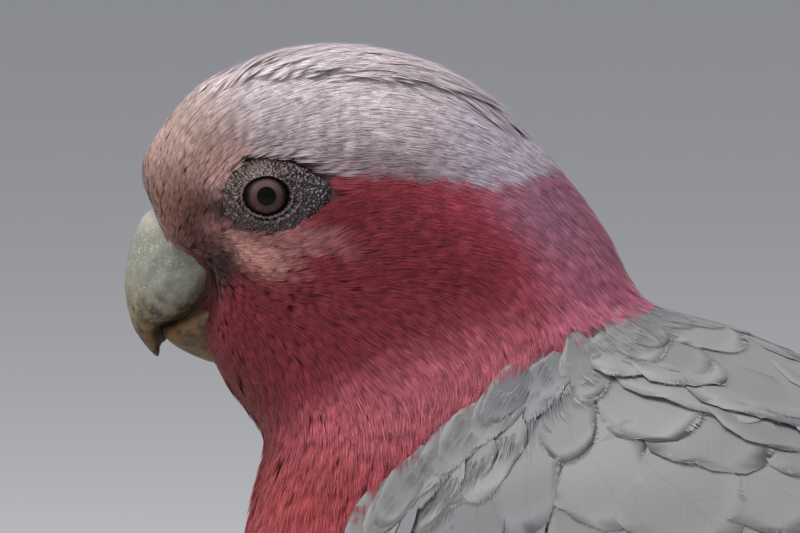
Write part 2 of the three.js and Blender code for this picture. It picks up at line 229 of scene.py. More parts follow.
# %% Sockets that can be added and multiplied
class Wire:
    def __init__(self, tree, socket):
        self.tree, self.socket = tree, socket

    def math(self, operation, *values):
        return node(self.tree, "Math", {"operation": operation}, dict(enumerate(values)))

    def __add__(self, other):
        return self.math("ADD", self, other)

    def __sub__(self, other):
        return self.math("SUBTRACT", self, other)

    def __mul__(self, other):
        return self.math("MULTIPLY", self, other)

    def __truediv__(self, other):
        return self.math("DIVIDE", self, other)

    def __rsub__(self, other):
        return self.math("SUBTRACT", other, self)

    __radd__, __rmul__ = __add__, __mul__

    def ramp(self, low, high):
        """0 below low, 1 above high, and smooth between them."""
        spans = {"Value": self, "From Min": low, "From Max": high}
        return node(self.tree, "MapRange", {"interpolation_type": "SMOOTHSTEP"}, spans)


def node(tree, kind, settings=None, values=None, output=0):
    """Adds a node, sets it up, fills its sockets with numbers or wires, and gives one of its outputs."""
    made = tree.nodes.new("ShaderNode" + kind)
    for name, value in (settings or {}).items():
        setattr(made, name, value)
    for name, value in (values or {}).items():
        if isinstance(value, Wire):
            tree.links.new(value.socket, made.inputs[name])
        else:
            made.inputs[name].default_value = value
    return Wire(tree, made.outputs[output])


# %% The nodes that are used most
def vector(x, y, z):
    """Three wires or numbers as one wire. X is a wire."""
    return node(x.tree, "CombineXYZ", None, {0: x, 1: y, 2: z})


def parts(wire, count=3):
    """The first few of a wire's three parts."""
    return [node(wire.tree, "SeparateXYZ", None, {0: wire}, output=i) for i in range(count)]


def attribute(tree, name, output="Vector"):
    return node(tree, "Attribute", {"attribute_name": name}, output=output)


def noise(place, scale, detail, **more):
    """Soft noise from 0 to 1 over places in millimetres."""
    return node(place.tree, "TexNoise", None, {"Vector": place, "Scale": scale, "Detail": detail, **more})


def size(wire):
    """A wire's value without its sign."""
    return wire.math("ABSOLUTE", wire)


def square_root(wire):
    return wire.math("SQRT", wire)


def mix(share, first, second):
    """A blend of two colours, each a wire or four numbers."""
    return node(share.tree, "Mix", {"data_type": "RGBA"}, {0: share, 6: first, 7: second}, output=2)


def shaded(colour, light):
    """A colour times a light, which is a wire or a colour."""
    light = vector(light, light, light) if isinstance(light, Wire) else light
    multiply = {"data_type": "RGBA", "blend_type": "MULTIPLY"}
    return node(colour.tree, "Mix", multiply, {0: 1.0, 6: colour, 7: light}, output=2)


def srgb(red, green, blue):
    """A colour picked on a screen, 0 to 255, as the linear colour that shaders use."""
    channels = [c / 255 for c in (red, green, blue)]
    return (*[c / 12.92 if c <= 0.04045 else ((c + 0.055) / 1.055) ** 2.4 for c in channels], 1.0)


# %% Materials and what feeds them
def material(name, roughness, specular=0.5, **fixed):
    """A new material with a plain Principled surface. Fixed sockets are given by name."""
    made = bpy.data.materials.new(name)
    made.use_nodes = True
    surface = made.node_tree.nodes["Principled BSDF"]
    surface.inputs["Roughness"].default_value = roughness
    surface.inputs["Specular IOR Level"].default_value = specular
    for socket, value in fixed.items():
        surface.inputs[socket.replace("_", " ").title()].default_value = value
    return made, made.node_tree, surface


def feed(surface, socket, value):
    value.tree.links.new(value.socket, surface.inputs[socket])


def emboss(surface, height, strength, distance):
    """Relief that a wire draws on a surface. Distance is in metres."""
    values = {"Height": height, "Strength": strength, "Distance": distance}
    feed(surface, "Normal", node(height.tree, "Bump", None, values, output="Normal"))


print("middle grey as a shader colour:", round(srgb(128, 128, 128)[0], 3))

# %% [markdown]
# ## Markings
# A galah is rose red below and pale grey above, with a pinkish white cap. The skin and every feather take
# their colour from the same place on the straight bird: a feather from where its root is. So the markings
# are written once, as soft-edged patches laid one over the other in a side view of the straight bird. Some
# of the dark patches are painted shade: under the chin, in the corner of the gape, and partly low on the cap.

# %% Where a colour lies
def root_place(tree):
    """Wires for x, y and z on the straight bird, in millimetres."""
    return parts(attribute(tree, "root"))


def patch(x, z, centre, reach, lean=0.0, soft=0.35):
    """1 in an oval of the side view and 0 outside. Lean turns it, in degrees; soft is its edge's width."""
    c, s = math.cos(math.radians(lean)), math.sin(math.radians(lean))
    dx, dz = x - centre[0], z - centre[1]
    along, across = (dx * c + dz * s) / reach[0], (dz * c - dx * s) / reach[1]
    away = square_root(along * along + across * across)
    return 1.0 - away.ramp(1.0 - soft, 1.0 + soft)


# %% The markings as one colour
def plumage_colour(tree):
    """The bird's markings and some painted shade as one colour wire."""
    x, y, z = root_place(tree)
    wander = noise(vector(x * 0.1, y * 0.1, z * 0.1), 2.2, 2.0)
    drift = (wander - 0.5) * 7.0
    zw, xw = z + drift, x + drift
    colour = mix(xw.ramp(-30.0, 60.0), srgb(132, 44, 54), srgb(172, 66, 88))
    layers = [
        (patch(x, z, (10, -12), (32, 18), -12, 0.5), srgb(118, 36, 46)),  # ear coverts
        (patch(x, z, (30, -30), (34, 9), 24, 0.6), srgb(178, 92, 104)),  # side of the neck
        # The throat is painted darker: painted shade under the chin.
        (patch(x, z, (-6, -38), (10, 14), 0, 0.6), srgb(108, 34, 34)),  # throat
        (patch(x, z, (6, -62), (34, 22), 0, 0.6), srgb(182, 80, 84)),  # breast
        (patch(x, z, (56, -14), (16, 9), -60, 0.6), srgb(186, 106, 130)),  # back of the neck
        (patch(x, z, (44, 2), (12, 7), -40, 0.8), srgb(150, 100, 122)),  # nape
        (patch(x, z, (2, -7.2), (8, 2.0), -8, 0.8), srgb(160, 104, 104)),  # under the eye
        ((x * 0.8 - z * 0.6 + drift).ramp(150.0, 165.0), srgb(170, 166, 170)),  # vent
        (patch(x, z, (80, -134), (24, 15), 0, 0.3), srgb(162, 160, 164)),  # thighs
    ]
    for share, paint in layers:
        colour = mix(share, colour, paint)
    cap_edge = 3.9 + xw.ramp(34.0, 58.0) * 5.0
    cap = (zw * 0.2 + z * 0.8 - cap_edge).ramp(-0.5, 0.8) * (1.0 - (xw * 0.8 - z * 0.4).ramp(36.0, 46.0))
    # Low on the cap the colour is darker: partly its greyer feathers, partly painted shade under the bulge of
    # the crown.
    white = mix((z + wander * 6.0).ramp(7.0, 20.0), srgb(132, 114, 119), srgb(198, 186, 191))
    white = mix(patch(x, z, (38, 9), (12, 10), -40, 0.7), white, srgb(176, 164, 178))
    colour = mix(cap, colour, white)
    face = [
        (patch(x, z, (-18, 4), (8, 12), -25, 0.7), srgb(178, 152, 143)),  # forehead
        (patch(x, z, (-13, -3.5), (9, 6), -20, 0.9), srgb(112, 74, 63)),  # lores
        (patch(x, z, (-7.6, -4.6), (5.5, 4.5), -30, 0.9), srgb(40, 18, 15)),  # the dark of the lores
        (patch(x, z, (-10.5, -6.6), (4.5, 2.2), -15, 0.7), srgb(64, 32, 30)),  # dark skin before the eye
        (patch(x, z, (-9.5, 4.5), (4.5, 4.5), 0, 0.7), srgb(158, 124, 118)),  # over the ring's front corner
        (patch(x, z, (-3.8, -8.8), (6.0, 2.2), -25, 0.9), srgb(196, 142, 134)),  # plumes behind the gape
        # A dark patch over the gape: painted shade in the corner behind the upper bill.
        (patch(x, z, (-9.2, -10.6), (2.4, 3.6), 0, 0.8), srgb(52, 26, 22)),  # over the gape
        (patch(x, z, (-11.5, -17), (2.6, 5), 0, 0.7), srgb(84, 34, 32)),  # behind the lower bill
    ]
    for share, paint in face:
        colour = mix(share, colour, paint)
    return colour, (x, y, z)


# %% Plumage and the skin under it
def feather_material(name, colour_of):
    made, tree, surface = material(name, 0.6, 0.25, Sheen_Weight=0.15, Sheen_Roughness=0.4)
    feed(surface, "Base Color", colour_of(tree))
    return made


def shaded_barb(tree, colour):
    """A colour with painted shade towards a barb's root, where other feathers cover it, and a little lighter
    or darker from barb to barb.
    """
    along, _, chance = parts(attribute(tree, "strand"))
    return shaded(colour, 0.84 + along.ramp(0.1, 0.8) * 0.16 + (chance - 0.5) * 0.85)


def barb_colour(tree):
    return shaded_barb(tree, plumage_colour(tree)[0])


def skin_colour(tree):
    colour, (x, y, z) = plumage_colour(tree)
    colour = mix(attribute(tree, "back", "Fac"), colour, srgb(150, 150, 152))
    from_gape = vector(x + 17.0, 0.0, z + 22.0)
    gape = node(tree, "VectorMath", {"operation": "LENGTH"}, {0: from_gape}, output="Value")
    colour = mix(1.0 - gape.ramp(6.0, 9.0), colour, srgb(70, 58, 44))
    # Dark near the ring: partly the bare skin's own dark, partly painted shadow under the feathers that hang
    # over the ring.
    from_eye = attribute(tree, "eye_ring", "Fac")
    colour = mix(1.0 - from_eye.ramp(1.0, 1.25), colour, srgb(58, 36, 40))
    # The skin is painted darker than the feathers on it: painted shade for the gaps between them.
    return shaded(colour, (0.8, 0.74, 0.74, 1))


plumage = feather_material("plumage", barb_colour)
under_skin = feather_material("skin", skin_colour)
print("nodes in the plumage:", len(plumage.node_tree.nodes))

# %% [markdown]
# ## The skin
# Under its feathers the bird is smaller than it looks. The fleshy solids are copied, swollen a little so
# that the thin gaps between them close, joined, and remeshed into one skin. The skin then sinks by the
# depth of the coat that will cover it: less than a millimetre at the bill, and over three on the breast.

# %% Copies of the solids
FLESH = ["head", "neck", "trunk", "thigh_left", "thigh_right", "wing_left", "wing_right"]
IN_THE_HEAD = ["bill_upper", "bill_lower", "eye_left", "eye_right", "eyelid_left", "eyelid_right"]
SWELL = 0.6


def merged_copy(name):
    """A bmesh of a solid, on the straight bird, with its loose triangles merged."""
    shape = bmesh.new()
    shape.from_mesh(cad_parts[name].data)
    bmesh.ops.remove_doubles(shape, verts=shape.verts, dist=1e-6)
    places = to_bird(np.array([v.co for v in shape.verts]))
    for vert, place in zip(shape.verts, places):
        vert.co = place
    shape.normal_update()
    return shape


def add_swollen(whole, part, swell):
    """Swells a bmesh along its normals and adds it to another."""
    for vert in part.verts:
        vert.co += vert.normal * swell
    scrap = bpy.data.meshes.new("scrap")
    part.to_mesh(scrap)
    part.free()
    whole.from_mesh(scrap)
    bpy.data.meshes.remove(scrap)


def surface_tree(*names):
    """A tree for finding the nearest point of some solids on the straight bird."""
    points, faces = [], []
    for name in names:
        shape = merged_copy(name)
        faces += [[v.index + len(points) for v in f.verts] for f in shape.faces]
        points += [v.co.copy() for v in shape.verts]
        shape.free()
    return BVHTree.FromPolygons(points, faces)


wing_tree = surface_tree("wing_left", "wing_right")
body_tree = surface_tree("head", "neck", "trunk")
thigh_tree = surface_tree("thigh_left", "thigh_right")
bill_tree = surface_tree("bill_upper", "bill_lower")
print("flesh:", len(FLESH), "solids; set in the head:", len(IN_THE_HEAD))


def distances(tree, points):
    """How far each point is from a tree's surface, in millimetres."""
    return np.array([tree.find_nearest(p)[3] for p in points])


# %% The bare ring round the eye, and the coat's depth
def ring_edge(angle):
    """Outer edge of the bare skin round the eye, in the side view, from the middle of the eye."""
    back = np.maximum(np.cos(angle), 0) ** 6
    x = 0.7 + 9.4 * np.cos(angle) + 0.9 * back
    z = -0.5 + 6.9 * np.sin(angle) * (1 - 0.1 * np.maximum(np.cos(angle), 0)) + 1.2 * back
    return x, z


RING_MIDDLE = (0.7, 1.0)
EYE_RADIUS = 6.3
EYE_CENTRE = np.array([0.0, 11.9, 1.5])
HEAD_SIDES = 8.0
edge_x, edge_z = ring_edge(np.linspace(0, 2 * np.pi, 200, endpoint=False))
dx, dz = edge_x - RING_MIDDLE[0], edge_z + EYE_CENTRE[2] - RING_MIDDLE[1]
ring_angle, ring_radius = np.arctan2(dz, dx), np.hypot(dx, dz)
in_order = np.argsort(ring_angle)
ring_angle, ring_radius = ring_angle[in_order], ring_radius[in_order]


def eye_ring_distance(p):
    """How far outside the bare ring of the eye a point lies in the side view: 1 is its edge."""
    dx, dz = p[:, 0] - RING_MIDDLE[0], p[:, 2] - RING_MIDDLE[1]
    return np.hypot(dx, dz) / np.interp(np.arctan2(dz, dx), ring_angle, ring_radius, period=2 * np.pi)


def on_a_side(p):
    """True on the sides of the head, away from the line down its middle."""
    return np.abs(p[:, 1]) > HEAD_SIDES


def coat_depth(p, on_wing, on_thigh):
    """The coat's depth over a place on the straight bird, in millimetres."""
    from_gape = np.hypot(p[:, 0] + 15.0, p[:, 2] + 12.0)
    depth = 0.8 + 1.3 * smoothstep(from_gape, 5.0, 20.0)
    above = above_collar(p[:, 0], p[:, 2])
    depth += 1.2 * (1 - smoothstep(above, -4.0, 25.0)) * smoothstep(from_gape, 12.0, 30.0)
    depth += 0.3 * (1 - smoothstep(p[:, 2], -100.0, -50.0))
    ring = smoothstep(eye_ring_distance(p), 0.9, 1.7)
    near_eye = (np.abs(p[:, 0]) < 20) & (p[:, 2] > -15)
    depth = np.where(near_eye, depth * (0.45 + 0.55 * ring), depth)
    return np.where(on_wing, 1.5, np.where(on_thigh, 2.2, depth))


# %% One skin
def remeshed(piece, voxel):
    """Gives a piece one fine even mesh in place of its own. Voxel is in millimetres."""
    fine = piece.modifiers.new("remesh", "REMESH")
    fine.mode, fine.voxel_size = "VOXEL", voxel
    depsgraph = bpy.context.evaluated_depsgraph_get()
    mesh = bpy.data.meshes.new_from_object(piece.evaluated_get(depsgraph))
    piece.modifiers.clear()
    piece.data = mesh
    return mesh


WING_TOP = [(24, -72), (30, -55), (42, -37.5), (62, -28), (90, -29.5), (120, -40.5), (178, -66), (234, -86.5)]
WING_EDGE = [(30, 31, -55), (42, 27, -38), (62, 22, -29), (90, 19.5, -30), (120, 16.5, -41), (149, 13.5, -53)]
SHOULDER_REACH = 13.0
VOXEL = 1.3
SINKING_STEPS = 4
WING_FLESH_ENDS_X = 165.0

joined = bmesh.new()
for name in FLESH + IN_THE_HEAD:
    part = merged_copy(name)
    if name.startswith("wing"):
        everything = part.verts[:] + part.edges[:] + part.faces[:]
        plane = {"plane_co": (WING_FLESH_ENDS_X, 0, 0), "plane_no": (1, 0, 0), "clear_outer": True}
        cut = bmesh.ops.bisect_plane(part, geom=everything, **plane)
        bmesh.ops.holes_fill(part, edges=[e for e in cut["geom_cut"] if isinstance(e, bmesh.types.BMEdge)])
    add_swollen(joined, part, SWELL)
skin = finished(joined, "skin")
skin_mesh = remeshed(skin, VOXEL)
skin_mesh.name = "skin"


# %% Reading, marking, placing and smoothing meshes
def vertex_array(mesh, field="co"):
    values = np.empty(len(mesh.vertices) * 3)
    mesh.vertices.foreach_get(field, values)
    return values.reshape(-1, 3)


def store(mesh, title, values):
    """Keeps one number or three for each vertex of a mesh, under a name that materials can read."""
    kind, field = ("FLOAT_VECTOR", "vector") if values.ndim == 2 else ("FLOAT", "value")
    mesh.attributes.new(title, kind, "POINT").data.foreach_set(field, values.astype(np.float32).ravel())


def show(piece, paint, nodes):
    """Takes a piece from the straight bird to its place on the model, and hides the solids that it stands
    for.
    """
    mesh = piece.data
    places = vertex_array(mesh)
    store(mesh, "root", places)
    mesh.vertices.foreach_set("co", to_model(places).ravel())
    mesh.polygons.foreach_set("use_smooth", np.ones(len(mesh.polygons), dtype=bool))
    mesh.update()
    mesh.materials.clear()
    mesh.materials.append(paint)
    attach(piece, "root")
    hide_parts(*nodes)
    print(piece.name, len(mesh.polygons), "faces")


def smooth(mesh, times, chosen=None):
    shape = bmesh.new()
    shape.from_mesh(mesh)
    verts = shape.verts[:] if chosen is None else [v for v, wanted in zip(shape.verts, chosen) if wanted]
    for _ in range(times):
        bmesh.ops.smooth_vert(
            shape, verts=verts, factor=0.5, use_axis_x=True, use_axis_y=True, use_axis_z=True)
    shape.to_mesh(mesh)
    shape.free()


# %% The skin sinks under the coat
smooth(skin_mesh, 3)
places = vertex_array(skin_mesh)
to_body, to_wing, to_thigh = [distances(t, places) for t in (body_tree, wing_tree, thigh_tree)]
skin_on_wing = (to_wing < to_body) & (to_wing < to_thigh)
skin_on_thigh = (to_thigh < to_body) & ~skin_on_wing
stroke = np.linspace(WING_EDGE[0][0], WING_EDGE[-1][0], 60)
edge_x, edge_y, edge_z = np.array(WING_EDGE, dtype=float).T
edge_line = np.column_stack([stroke, np.interp(stroke, edge_x, edge_y), np.interp(stroke, edge_x, edge_z)])
mirrored = np.column_stack([places[:, 0], np.abs(places[:, 1]), places[:, 2]])
from_edge = np.min([np.linalg.norm(mirrored - q, axis=1) for q in edge_line], axis=0)
smooth(skin_mesh, 250, from_edge < SHOULDER_REACH)
on_bill = distances(bill_tree, places) < to_body
in_ring = (1 - smoothstep(eye_ring_distance(places), 0.5, 0.9)) * on_a_side(places)
sink = coat_depth(places, skin_on_wing, skin_on_thigh) + SWELL + 1.4 * on_bill + 2.5 * in_ring
outside = vertex_array(skin_mesh)
for _ in range(SINKING_STEPS):
    places = vertex_array(skin_mesh) - vertex_array(skin_mesh, "normal") * (sink / SINKING_STEPS)[:, None]
    skin_mesh.vertices.foreach_set("co", places.ravel())
    skin_mesh.update()
    smooth(skin_mesh, 2)
coat_room = ((outside - vertex_array(skin_mesh)) * vertex_array(skin_mesh, "normal")).sum(1) - SWELL
print("skin:", len(skin_mesh.vertices), "vertices; coat, mm:", np.percentile(coat_room, (5, 50, 95)).round(1))

# %% [markdown]
# ## Which way the feathers lie
# Feathers start at the bill and lie away from it: over the crown to the nape, straight back under the eye,
# down the throat and breast. A few guides in the side view give the direction there, and every place in
# between takes a blend of the guides near it, turned into the plane of the skin.

# %% Flow guides: x, z, and the direction along x and z
GUIDES = {
    "forehead and crown": [
        (-22, 3, 0.15, 1), (-20, 9, 0.45, 0.9), (-13, 18, 0.75, 0.65), (-5, 24, 0.95, 0.3), (10, 27, 1, 0),
        (25, 25, 0.95, -0.3), (40, 17, 0.8, -0.6), (0, 13, 0.95, 0.3), (20, 12, 1, -0.15), (30, 4, 1, -0.3)],
    "round the eye": [
        (-15, 0, 0.35, 0.94), (-12, -4, 0.2, 0.6), (-9, 5, 0.7, 0.7), (0, 9, 0.97, 0.25), (8, 9, 1, 0.05),
        (14, 1, 1, 0.1), (-5, -9, 0.95, -0.1), (2, -9, 0.95, 0.25), (9, -6, 0.85, 0.5)],
    "cheek": [
        (-9, -10, 0.8, 0), (5, -13, 1, 0.1), (15, -11, 1, 0.05), (25, -8, 1, -0.05), (25, -13, 1, -0.15),
        (35, -8, 0.95, -0.3), (0, -17, 0.9, -0.4), (10, -19, 0.9, -0.45), (20, -22, 0.8, -0.55)],
    "throat and breast": [
        (-9, -16, 0.35, -0.93), (-9, -24, 0.05, -1), (-7, -31, 0.2, -1), (0, -27, 0.45, -0.9),
        (10, -29, 0.6, -0.8), (-2, -38, 0.25, -0.95), (0, -46, 0.1, -1), (0, -60, 0.1, -1),
        (15, -50, 0.25, -0.97), (25, -42, 0.4, -0.9), (8, -85, 0.3, -0.95), (20, -105, 0.7, -0.7),
        (50, -118, 0.95, -0.3), (95, -128, 1, 0), (150, -118, 0.95, 0.25)],
    "neck": [
        (30, -20, 0.65, -0.75), (42, -14, 0.65, -0.75), (42, -24, 0.35, -0.93), (50, -4, 0.62, -0.78),
        (53, -16, 0.4, -0.92), (62, -10, 0.45, -0.89), (65, -18, 0.5, -0.86), (34, -36, 0.12, -0.99)],
    "back and wings": [
        (46, -27, -0.5, -0.85), (39, -35, -0.5, -0.85), (31, -47, -0.5, -0.85), (26, -58, -0.1, -1),
        (42, -41, 0.2, -0.97), (47, -47, 0.4, -0.9), (56, -38, 0.7, -0.65), (66, -48, 0.5, -0.87),
        (64, -28, 0.9, -0.3), (78, -36, 0.9, -0.4), (85, -48, 0.5, -0.85), (40, -60, 0.5, -0.85),
        (30, -75, 0.5, -0.85), (60, -75, 0.75, -0.65), (80, -27, 0.94, -0.35), (100, -45, 0.85, -0.5),
        (100, -65, 0.85, -0.5), (90, -90, 0.95, -0.3), (140, -60, 0.92, -0.38), (190, -85, 0.94, -0.35),
        (150, -100, 0.98, -0.15)],
}
GUIDE = np.array([g for group in GUIDES.values() for g in group], dtype=float)
GUIDE[:, 2:] /= np.linalg.norm(GUIDE[:, 2:], axis=1)[:, None]
print("guides:", len(GUIDE))


def unit(v):
    """Vectors at a length of one."""
    return v / np.maximum(np.linalg.norm(v, axis=-1, keepdims=True), 1e-9)


def flow(points, normals):
    """The lie of the feathers at places on the skin: unit vectors square to the normals."""
    gap = ((points[:, None, [0, 2]] - GUIDE[None, :, :2]) ** 2).sum(2)
    share = 1.0 / (gap + 4.0) ** 2
    way = share @ GUIDE[:, 2:] / share.sum(1)[:, None]
    way = np.column_stack([way[:, 0], np.zeros(len(way)), way[:, 1]])
    along = way - normals * (way * normals).sum(1)[:, None]
    return unit(along)


# %% [markdown]
# ## Roots
# Feather roots are spread evenly but not in rows: points are tried at random over the skin, and a point is
# kept if no kept point is closer than the spacing its place asks for. Each root remembers its place on the
# skin's own unwrapped map, so that a feather's patch of the map is where the feather grows.

# %% The skin's own map, and samples over it
skin_faces = [list(f.vertices) for f in skin_mesh.polygons]
skin_tree = BVHTree.FromPolygons(vertex_array(skin_mesh).tolist(), skin_faces)
THINNEST, THICKEST = 0.4, 6.0
face_room = np.clip([coat_room[f].mean() for f in skin_faces], THINNEST, THICKEST)
skin.select_set(True)
bpy.context.view_layer.objects.active = skin
bpy.ops.object.mode_set(mode="EDIT")
bpy.ops.mesh.select_all(action="SELECT")
bpy.ops.uv.smart_project(angle_limit=math.radians(60), island_margin=0.004)
bpy.ops.object.mode_set(mode="OBJECT")
skin_mesh.uv_layers[0].name = "OFBake"

skin_mesh.calc_loop_triangles()
triangles = len(skin_mesh.loop_triangles)


def triangle_array(field, width, kind):
    values = np.empty(triangles * width, dtype=kind)
    skin_mesh.loop_triangles.foreach_get(field, values)
    return values.reshape(triangles, width)


corner_verts = triangle_array("vertices", 3, np.int32)
corner_loops = triangle_array("loops", 3, np.int32)
areas = triangle_array("area", 1, np.float32)[:, 0]
skin_uv = np.empty(len(skin_mesh.loops) * 2)
skin_mesh.uv_layers[0].data.foreach_get("uv", skin_uv)
skin_uv = skin_uv.reshape(-1, 2)
skin_places = vertex_array(skin_mesh)
skin_normals = vertex_array(skin_mesh, "normal")

SAMPLES_PER_MM2 = 5.0
count = int(areas.sum() * SAMPLES_PER_MM2)
pick = rng.choice(triangles, count, p=areas / areas.sum())
corner = rng.dirichlet((1, 1, 1), count)
sample = {
    "place": (skin_places[corner_verts[pick]] * corner[:, :, None]).sum(1),
    "normal": unit((skin_normals[corner_verts[pick]] * corner[:, :, None]).sum(1)),
    "uv": (skin_uv[corner_loops[pick]] * corner[:, :, None]).sum(1),
    "on_wing": skin_on_wing[corner_verts[pick, 0]],
    "on_thigh": skin_on_thigh[corner_verts[pick, 0]],
    "depth": np.clip((coat_room[corner_verts[pick]] * corner).sum(1), THINNEST, THICKEST),
}
print("samples:", count, "over", round(float(areas.sum())), "square mm")

# %% Which samples may hold which feathers
GREY_EDGE = [(66, -19), (58, -19.6), (39.6, -32), (31.2, -41), (23.3, -57.5), (21, -72)]
WING_GAP = 3.0


def behind_edge(p):
    """How far behind the pink plumage's rear edge a place is, in millimetres."""
    x, z = np.array(GREY_EDGE[::-1], dtype=float).T
    edge_x = np.interp(p[:, 2], z, x)
    return p[:, 0] - np.where(p[:, 2] > -19, 66 - 0.4 * (p[:, 2] + 19), edge_x)


def grey_part(p, on_wing):
    """True on the back and wings."""
    wing_top = np.interp(p[:, 0], *np.array(WING_TOP, dtype=float).T)
    return on_wing | ((behind_edge(p) > 0) & (p[:, 2] > np.maximum(wing_top - 16, -74)))


p = sample["place"]
on_back = grey_part(p, sample["on_wing"]) & ~sample["on_wing"] & ~sample["on_thigh"]
under_wing = ~sample["on_wing"] & (distances(wing_tree, p) < WING_GAP) & ~on_back
wing_outside = sample["on_wing"] & (sample["normal"][:, 1] * np.sign(p[:, 1]) > -0.1)
bare = (eye_ring_distance(p) < 1.0) & on_a_side(p)
on_bill = distances(bill_tree, p) < distances(body_tree, p)
hidden = under_wing | bare | on_bill
takes_vanes = (on_back | wing_outside) & ~hidden
takes_tufts = ~on_back & ~sample["on_wing"] & ~hidden


# %% Roots of the small feathers
CELL = 6.0


def scatter(allowed, spacing):
    """Indices of samples at least their spacing apart, from those allowed."""
    spacing = np.broadcast_to(spacing, len(allowed))
    grid, kept = {}, []
    for i in np.flatnonzero(allowed):
        place, room = sample["place"][i], spacing[i]
        x, y, z = place
        home = [int(c // CELL) for c in place]
        reach = range(-int(room // CELL) - 1, int(room // CELL) + 2)
        cells = [(home[0] + a, home[1] + b, home[2] + c) for a in reach for b in reach for c in reach]
        near = (q for cell in cells for q in grid.get(cell, ()))
        if any((x - q[0]) ** 2 + (y - q[1]) ** 2 + (z - q[2]) ** 2 < room * room for q in near):
            continue
        grid.setdefault(tuple(home), []).append(place)
        kept.append(i)
    return np.array(kept)


def grown_at(roots):
    """Places of roots, on the straight bird and on the skin's own map."""
    return sample["place"][roots], sample["uv"][roots]


from_bill = np.hypot(p[:, 0] + 14.0, p[:, 2] + 8.0)
tuft_spacing = 0.64 + 0.54 * smoothstep(from_bill, 6.0, 28.0)
tuft_spacing += 0.35 * (1 - smoothstep(p[:, 2], -45.0, -20.0))
tuft_spacing += 0.75 * (1 - smoothstep(p[:, 2], -90.0, -50.0))
tuft_roots = scatter(takes_tufts, tuft_spacing)
print("tufts:", len(tuft_roots))

# %% [markdown]
# ## Laying a feather on the skin
# Every feather is first laid out flat: a place along it from root to tip, a distance across it, and a
# height above the skin. Its middle line is walked over the skin in a few steps that follow the flow, and
# the flat layout is then wrapped round that line. A feather's root is near the skin and its tip is at the
# coat's depth, so each tip lies over the roots behind it, as shingles do.

# %% Middle lines over the skin
STEPS = 5
BARE_SHARE = 0.86
SHORTEST = 0.8


def walk(roots, lengths, turn=0.0):
    """Middle lines of feathers: places, normals and sideways directions, each (feathers, STEPS, 3)."""
    place, normal = sample["place"][roots], sample["normal"][roots]
    way = flow(place, normal)
    side = np.cross(normal, way)
    way = unit(way * np.cos(turn)[:, None] + side * np.sin(turn)[:, None]) if np.ndim(turn) else way
    places, normals, sides = [place], [normal], [np.cross(normal, way)]
    for _ in range(STEPS - 1):
        ahead = place + way * (lengths / (STEPS - 1))[:, None]
        found = [skin_tree.find_nearest(q) for q in ahead]
        place = np.array([f[0] for f in found])
        normal = unit(normal * 0.5 + np.array([f[1] for f in found]) * 0.5)
        bend = flow(place, normal)
        way = way * 0.75 + bend * 0.25
        way = unit(way - normal * (way * normal).sum(1)[:, None])
        places.append(place)
        normals.append(normal)
        sides.append(np.cross(normal, way))
    return [np.stack(a, axis=1) for a in (places, normals, sides)]


def room_at(places):
    """The coat's depth over places on the skin."""
    faces = [skin_tree.find_nearest(q)[2] for q in places.reshape(-1, 3)]
    return face_room[faces].reshape(places.shape[:-1])


def clear_of_eye(lengths, lines):
    """Feathers that would cross the bare ring of the eye are cut down to end at its edge."""
    for step in range(1, STEPS):
        q = lines[0][:, step]
        inside = (eye_ring_distance(q) < BARE_SHARE) & on_a_side(q)
        lengths = np.where(inside, np.minimum(lengths, lengths * (step - 0.6) / (STEPS - 1)), lengths)
    return np.maximum(lengths, SHORTEST)


# %% Flat layouts wrapped round their middle lines
BACK_ROUNDNESS, WING_ROUNDNESS = 50.0, 60.0
STIFFNESS = 0.3


def wrapped(lines, along, across, height, roundness, hug=False):
    """Wraps flat layouts, each (feathers, points), round middle lines. Hug makes them follow the skin."""
    station = along * (STEPS - 1)
    low = np.clip(station, 0, STEPS - 2).astype(int)
    share = (station - low)[:, :, None]
    each = np.arange(len(along))[:, None]
    place, normal, side = [a[each, low] * (1 - share) + a[each, low + 1] * share for a in lines]
    spread = place + side * across[:, :, None]
    drop = across ** 2 / (2 * roundness)
    if not hug:
        return spread + normal * (height - drop)[:, :, None]
    found = [skin_tree.find_nearest(q) for q in spread.reshape(-1, 3)]
    lie = unit(np.array([f[1] for f in found]).reshape(place.shape) * 0.4 + normal * 0.6)
    limp = np.array([f[0] for f in found]).reshape(place.shape)
    stiff = spread - normal * drop[:, :, None]
    return limp * (1 - STIFFNESS) + stiff * STIFFNESS + lie * height[:, :, None]


# %% [markdown]
# ## From arrays to meshes
# Thousands of feathers are one mesh. A small piece is made once with bmesh, its points and faces are copied
# for every feather as arrays, and each array is cut into meshes of a sensible size.

# %% Joined meshes
PIECE_TRIANGLES = 150_000
MAP_PATCH = 0.003
coat_triangles = 0


